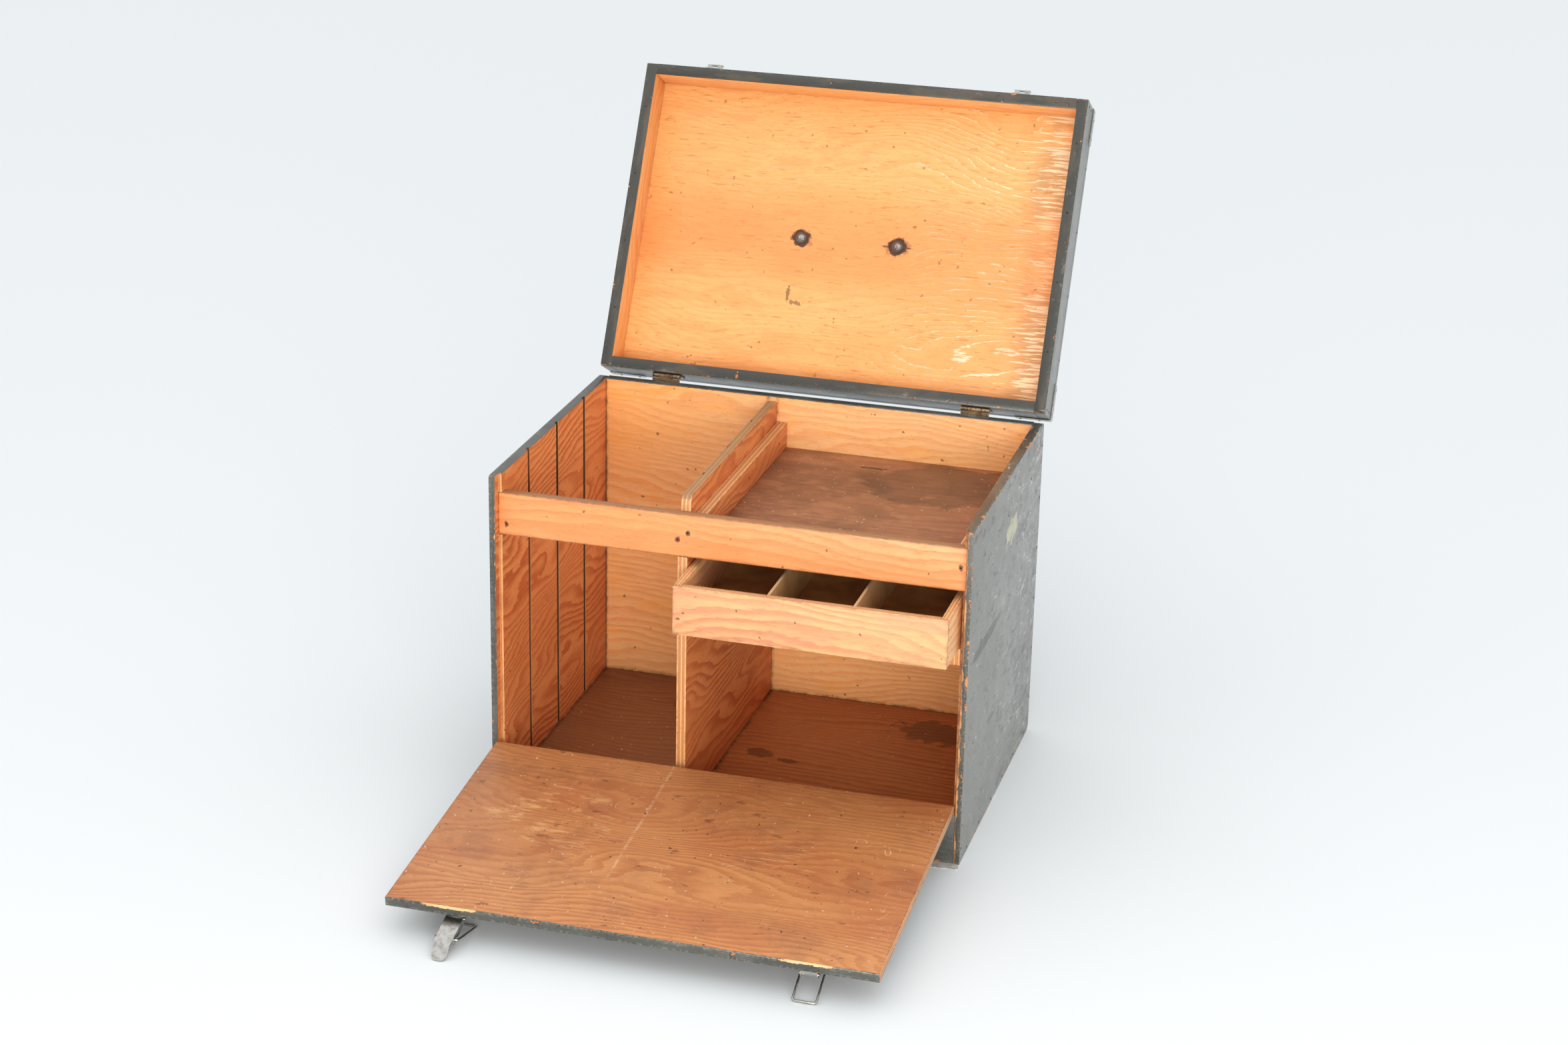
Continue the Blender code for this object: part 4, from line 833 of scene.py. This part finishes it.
# Corner plates: pale and mostly diffuse, a painted reflection of the bright floor.
PLATES = metal("pale_plates", "cabinet", *PALE_PLATE, metallic=0.3)
IRONS = {body: metal("iron_" + body, body, *IRON) for body in ("cabinet", "lid", "door", "drawer")}


def dress_metal():
    for node, body in NODE_BODY.items():
        if node.startswith(("lid_hinge", "door_hinge")):
            chosen = BRASSES[body]
        elif node.startswith("handle_bolt"):
            chosen = BOLTS
        elif node.startswith("corner_plate"):
            chosen = PLATES
        elif node.startswith(("latch", "strike", "lid_corner", "lid_handle")):
            chosen = NICKELS[body]
        else:
            continue
        cover(node, chosen)


# ---------------------------------------------------------------- nails, screws and rivets


def smooth_by_angle():
    """A modifier's node group that welds a mesh and shades it smooth except across sharp edges."""
    group = bpy.data.node_groups.new("smooth_by_angle", "GeometryNodeTree")
    group.interface.new_socket("Geometry", in_out="INPUT", socket_type="NodeSocketGeometry")
    group.interface.new_socket("Geometry", in_out="OUTPUT", socket_type="NodeSocketGeometry")
    nodes, link = group.nodes, group.links.new
    start = nodes.new("NodeGroupInput")
    end = nodes.new("NodeGroupOutput")
    weld = nodes.new("GeometryNodeMergeByDistance")
    weld.inputs["Distance"].default_value = 1e-6
    faces = nodes.new("GeometryNodeSetShadeSmooth")
    edges = nodes.new("GeometryNodeSetShadeSmooth")
    edges.domain = "EDGE"
    edges.inputs["Shade Smooth"].default_value = False
    angle = nodes.new("GeometryNodeInputMeshEdgeAngle")
    sharp = nodes.new("FunctionNodeCompare")
    sharp.operation = "GREATER_THAN"
    sharp.inputs["B"].default_value = math.radians(38)
    link(start.outputs[0], weld.inputs["Geometry"])
    link(weld.outputs[0], faces.inputs["Geometry"])
    link(faces.outputs[0], edges.inputs["Geometry"])
    link(angle.outputs["Unsigned Angle"], sharp.inputs["A"])
    link(sharp.outputs[0], edges.inputs["Selection"])
    link(edges.outputs[0], end.inputs[0])
    return group


SMOOTH = smooth_by_angle()


def smooth(obj):
    step = obj.modifiers.new("smooth", "NODES")
    step.node_group = SMOOTH


def piece(name, work, material, body):
    """A new piece from a bmesh laid out in the closed case."""
    bmesh.ops.recalc_face_normals(work, faces=work.faces)
    work.transform(CLOSED[body].inverted())
    mesh = bpy.data.meshes.new(name)
    work.to_mesh(mesh)
    work.free()
    mesh.materials.append(material)
    obj = bpy.data.objects.new(name, mesh)
    bpy.context.collection.objects.link(obj)
    smooth(obj)
    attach(obj, body)


def facing(place, axis):
    """Takes a shape that stands on Z at the origin to place, standing along axis."""
    return Matrix.Translation(place) @ Vector(axis).to_track_quat("Z", "Y").to_matrix().to_4x4()


def add_turned(work, profile, place, axis, steps=20):
    """Adds a solid of revolution about axis at place; profile is (radius, height along the axis)."""
    part = bmesh.new()
    line = [part.verts.new((radius, 0.0, along)) for radius, along in profile]
    for first, second in zip(line, line[1:]):
        part.edges.new((first, second))
    outline = part.verts[:] + part.edges[:]
    bmesh.ops.spin(part, geom=outline, cent=(0, 0, 0), axis=(0, 0, 1), angle=2 * math.pi, steps=steps)
    bmesh.ops.remove_doubles(part, verts=part.verts, dist=1e-7)
    part.transform(facing(place, axis))
    add_part(work, part)


def add_part(work, part):
    mesh = bpy.data.meshes.new("part")
    part.to_mesh(mesh)
    part.free()
    work.from_mesh(mesh)
    bpy.data.meshes.remove(mesh)


def dome(radius, rise, sink=0.0004):
    """Profile of a low rivet head."""
    steps = 6
    angles = [k * math.pi / 2 / steps for k in range(steps)]
    arc = [(radius * math.cos(angle), rise * math.sin(angle)) for angle in angles]
    return [(0, -sink), (radius, -sink)] + arc + [(0, rise)]


def screw_head(work, place, axis, radius, turn):
    """A slotted oval head, seated in its hole: two half heads with the slot between them."""
    part = bmesh.new()
    profile = [(0, -0.0006), (radius, -0.0006), (radius, 0.00005), (radius * 0.72, 0.00045), (0, 0.0006)]
    add_turned(part, profile, (0, 0, 0), (0, 0, 1), 24)
    half = radius * 0.11
    for sign in (-1, 1):
        geometry = part.verts[:] + part.edges[:] + part.faces[:]
        bmesh.ops.bisect_plane(part, geom=geometry, plane_co=(sign * half, 0, 0), plane_no=(1, 0, 0))
    for vert in part.verts:
        if abs(vert.co.x) <= half * 1.01 and vert.co.z > -0.0001:
            vert.co.z -= 0.0005
    part.transform(facing(place, axis) @ Matrix.Rotation(math.radians(turn), 4, "Z"))
    add_part(work, part)


def nails(name, places, axis, body, radius=0.0018):
    """Flat nail heads driven just below flush with a face whose outward direction is axis."""
    work = bmesh.new()
    profile = [(0, -0.0008), (radius, -0.0008), (radius, 0.0001), (radius * 0.8, 0.0002), (0, 0.00022)]
    for place in places:
        add_turned(work, profile, place, axis, 12)
    piece(name, work, IRONS[body], body)


def rivets(name, places, axis, body, radius=0.0022, rise=0.0011):
    work = bmesh.new()
    for place in places:
        add_turned(work, dome(radius, rise), place, axis, 18)
    piece(name, work, NICKELS[body], body)


def screws(name, places, axis, body, radius):
    work = bmesh.new()
    for k, place in enumerate(places):
        screw_head(work, place, axis, radius, 35 + 63 * k)
    piece(name, work, BRASSES[body], body)


def spaced(start, end, count):
    return [start + (end - start) * k / (count - 1) for k in range(count)]


LEAF_METAL = 0.0015  # thickness of a hinge leaf
LATCH_METAL = 0.0012  # thickness of a latch base or a strike
CAP_SKIRT = 0.0072  # rows of rivets below the lid's top


def fasten_hinges():
    for tag, out in (("lid_hinge", 1), ("door_hinge", -1)):
        for side in ("left", "right"):
            for end in ("case", "lid" if tag == "lid_hinge" else "door"):
                node = f"{tag}_{side}_{end}_leaf"
                low, high = closed_box(node)
                body = NODE_BODY[node]
                face = low.y + LEAF_METAL if out > 0 else high.y - LEAF_METAL
                up = 1 if end != "case" else -1
                far = high.z if up > 0 else low.z
                middle = (low.x + high.x) / 2
                places = [
                    (middle - 0.0125, face, far - up * 0.0060),
                    (middle, face, far - up * 0.0125),
                    (middle + 0.0125, face, far - up * 0.0060),
                ]
                screws(node + "_screws", places, (0, out, 0), body, 0.0029)


def fasten_latches():
    for side in ("left", "right"):
        low, high = closed_box(f"latch_{side}_base")
        x = (low.x + high.x) / 2
        face = high.y - LATCH_METAL
        spots = ((0.0, 0.007), (-0.0052, 0.026), (0.0052, 0.026))
        places = [(x + across, face, low.z + up) for across, up in spots]
        rivets(f"latch_{side}_rivets", places, (0, -1, 0), "door", 0.0021, 0.0009)
        low, high = closed_box(f"strike_{side}")
        face = high.y - LATCH_METAL
        places = [(x + across, face, low.z + 0.0045) for across in (-0.0060, 0.0060)]
        rivets(f"strike_{side}_rivets", places, (0, -1, 0), "lid", 0.0020, 0.0009)


def fasten_caps():
    for end in ("front", "back"):
        for side in ("left", "right"):
            node = f"lid_corner_{end}_{side}"
            low, high = closed_box(node)
            across = 1 if side == "right" else -1
            deep = 1 if end == "back" else -1
            x_out = high.x if across > 0 else low.x
            y_out = high.y if deep > 0 else low.y
            legs = ((0.041, 0.0075), (0.0075, 0.041))
            top = [(x_out - across * dx, y_out - deep * dy, high.z) for dx, dy in legs]
            rivets(node + "_top_rivets", top, (0, 0, 1), "lid")
            outer = [(x_out, y_out - deep * d, high.z - CAP_SKIRT) for d in (0.016, 0.042)]
            rivets(node + "_side_rivets", outer, (across, 0, 0), "lid")
            outer = [(x_out - across * d, y_out, high.z - CAP_SKIRT) for d in (0.016, 0.042)]
            rivets(node + "_end_rivets", outer, (0, deep, 0), "lid")


def fasten_boards():
    rail_face = RAIL_LOW.y
    middle = (RAIL_LOW.z + RAIL_HIGH.z) / 2
    rail = [
        (DIVIDER_LOW.x, rail_face, middle - 0.006),
        (DIVIDER_HIGH.x, rail_face, middle + 0.004),
        (RAIL_LOW.x + 0.010, rail_face, middle - 0.013),
        (RAIL_HIGH.x - 0.009, rail_face, middle + 0.002),
    ]
    nails("rail_nails", rail, (0, -1, 0), "cabinet", 0.0016)
    for sign, name in ((-1, "left"), (1, "right")):
        face = sign * CASE_HIGH.x
        low_row = [(face, y, BAY_FLOOR / 2) for y in spaced(CASE_LOW.y + 0.04, CASE_HIGH.y - 0.03, 6)]
        back_row = [(face, CASE_HIGH.y - 0.006, z) for z in spaced(0.05, CASE_HIGH.z - 0.03, 6)]
        front = [(face, CASE_LOW.y + 0.006, z) for z in (0.020, 0.052)]
        shelf_row = [(face, y, SHELF_LOW.z + 0.022) for y in (-0.14, 0.0, 0.14)] if sign > 0 else []
        nails(f"{name}_side_nails", low_row + back_row + front + shelf_row, (sign, 0, 0), "cabinet")
        lid_face = sign * LID_HIGH.x
        rows = [(lid_face, y, LID_HIGH.z - 0.006) for y in spaced(-0.13, 0.13, 4)]
        corners = (CASE_LOW.y + 0.007, CASE_HIGH.y - 0.007)
        ends = [(lid_face, y, LID_LOW.z + up) for y in corners for up in (0.014, 0.030)]
        nails(f"lid_{name}_nails", rows + ends, (sign, 0, 0), "lid")
        rim = [(sign * (LID_HIGH.x - 0.0075), y, LID_LOW.z) for y in spaced(-0.15, 0.13, 4)]
        nails(f"lid_{name}_rim_nails", rim, (0, 0, -1), "lid", 0.0014)
    back_row = [(x, CASE_HIGH.y, BAY_FLOOR / 2) for x in spaced(-0.26, 0.26, 7)]
    divider = [((DIVIDER_LOW.x + DIVIDER_HIGH.x) / 2, CASE_HIGH.y, z) for z in (0.08, 0.22, 0.36)]
    shelf = [(x, CASE_HIGH.y, (SHELF_LOW.z + SHELF_HIGH.z) / 2) for x in (0.03, 0.13, 0.23)]
    nails("back_nails", back_row + divider + shelf, (0, 1, 0), "cabinet")
    foot = [(x, CASE_LOW.y, 0.008) for x in (-0.27, -0.09, 0.09, 0.27)]
    nails("front_board_nails", foot, (0, -1, 0), "cabinet")
    top = [(DIVIDER_LOW.x + 0.003, y, DIVIDER_HIGH.z) for y in (-0.100, 0.010)]
    nails("divider_nails", top, (0, 0, 1), "cabinet", 0.0012)
    low, high = closed_box("shelf_cleat_left")
    cleat = [(high.x, y, (low.z + high.z) / 2) for y in (-0.13, 0.02, 0.16)]
    nails("shelf_cleat_nails", cleat, (1, 0, 0), "cabinet", 0.0014)
    low, high = closed_box("drawer_front")
    for sign, name in ((-1, "left"), (1, "right")):
        node = f"drawer_side_{name}"
        side_low, side_high = closed_box(node)
        face = side_high.x if sign > 0 else side_low.x
        places = [(face, side_low.y + 0.0025, z) for z in (low.z + 0.014, high.z - 0.014)]
        places += [(face, side_high.y - 0.005, z) for z in (low.z + 0.020, high.z - 0.020)]
        nails(node + "_brads", places, (sign, 0, 0), "drawer", 0.0010)
    low, high = closed_box("lid_panel")
    row = [(x, y, high.z) for x in spaced(-0.20, 0.20, 4) for y in (low.y + 0.008, high.y - 0.008)]
    nails("lid_top_nails", row, (0, 0, 1), "lid")


# ---------------------------------------------------------------- floor, light and camera

FLOOR_SIZE = 30.0
FLOOR_COLOUR = (0.78, 0.80, 0.805, 1)
SKY_COLOUR = (0.96, 0.98, 1.0, 1)
SKY_LOW = 0.50
SKY_HIGH = 1.30
KEY_PLACE = (1.1, -4.0, 1.05)
KEY_TARGET = (0.05, 0, 0.20)
KEY_SIZE = (2.8, 1.4)
KEY_POWER = 122
KEY_COLOUR = (1.0, 0.97, 0.93)


def stage():
    work = bmesh.new()
    bmesh.ops.create_grid(work, x_segments=1, y_segments=1, size=FLOOR_SIZE)
    mesh = bpy.data.meshes.new("floor")
    work.to_mesh(mesh)
    work.free()
    floor = bpy.data.objects.new("floor", mesh)
    bpy.context.collection.objects.link(floor)
    pale = bpy.data.materials.new("floor")
    pale.use_nodes = True
    shader = pale.node_tree.nodes["Principled BSDF"]
    shader.inputs["Base Color"].default_value = FLOOR_COLOUR
    shader.inputs["Roughness"].default_value = 0.55
    shader.inputs["Specular IOR Level"].default_value = 0.3
    mesh.materials.append(pale)


def softbox():
    """A large soft light in front of the case."""
    data = bpy.data.lights.new("key", "AREA")
    data.shape = "RECTANGLE"
    data.size, data.size_y = KEY_SIZE
    data.energy = KEY_POWER
    data.color = KEY_COLOUR
    light = bpy.data.objects.new("key", data)
    light.location = KEY_PLACE
    aim = Vector(KEY_TARGET) - Vector(KEY_PLACE)
    light.rotation_euler = aim.to_track_quat("-Z", "Y").to_euler()
    bpy.context.collection.objects.link(light)


def light_studio():
    """A sky that is bright overhead and dim at its edge, and the soft light."""
    world = bpy.data.worlds.new("studio")
    world.use_nodes = True
    nodes, link = world.node_tree.nodes, world.node_tree.links.new
    where = nodes.new("ShaderNodeTexCoord")
    parts = nodes.new("ShaderNodeSeparateXYZ")
    height = nodes.new("ShaderNodeMapRange")
    height.interpolation_type = "SMOOTHSTEP"
    height.inputs["From Min"].default_value = 0.0
    height.inputs["From Max"].default_value = 0.9
    height.inputs["To Min"].default_value = SKY_LOW
    height.inputs["To Max"].default_value = SKY_HIGH
    link(where.outputs["Generated"], parts.inputs[0])
    link(parts.outputs["Z"], height.inputs["Value"])
    link(height.outputs[0], nodes["Background"].inputs["Strength"])
    nodes["Background"].inputs["Color"].default_value = SKY_COLOUR
    bpy.context.scene.world = world
    softbox()
    bpy.context.scene.view_settings.view_transform = "Standard"


# The camera's place in metres; heading, tilt down and roll in degrees; lens in millimetres.
CAMERA_PLACE = (0.978, -3.519, 1.736)
CAMERA_HEADING = 15.31
CAMERA_DOWN = 20.96
CAMERA_ROLL = 1.28
CAMERA_LENS = 70.4


def place_camera():
    data = bpy.data.cameras.new("camera")
    data.lens = CAMERA_LENS
    data.sensor_width = 36.0
    camera = bpy.data.objects.new("camera", data)
    heading = Matrix.Rotation(math.radians(CAMERA_HEADING), 4, "Z")
    tilt = Matrix.Rotation(math.radians(90 - CAMERA_DOWN), 4, "X")
    roll = Matrix.Rotation(math.radians(CAMERA_ROLL), 4, "Z")
    camera.matrix_world = Matrix.Translation(CAMERA_PLACE) @ heading @ tilt @ roll
    bpy.context.collection.objects.link(camera)
    bpy.context.scene.camera = camera


dress_boards()
for partition, tint in (("drawer_partition_1", 1.0), ("drawer_partition_2", 2.0)):
    dress_sheet(partition, srgb(0.84, 0.69, 0.47), srgb(0.74, 0.59, 0.39), tint)
dress_sheet("drawer_bottom", srgb(0.86, 0.62, 0.37), srgb(0.74, 0.51, 0.29), 3.0)
dress_metal()
for obj in frame["nodes"].values():
    smooth(obj)
fasten_hinges()
fasten_latches()
fasten_caps()
fasten_boards()
stage()
light_studio()
place_camera()
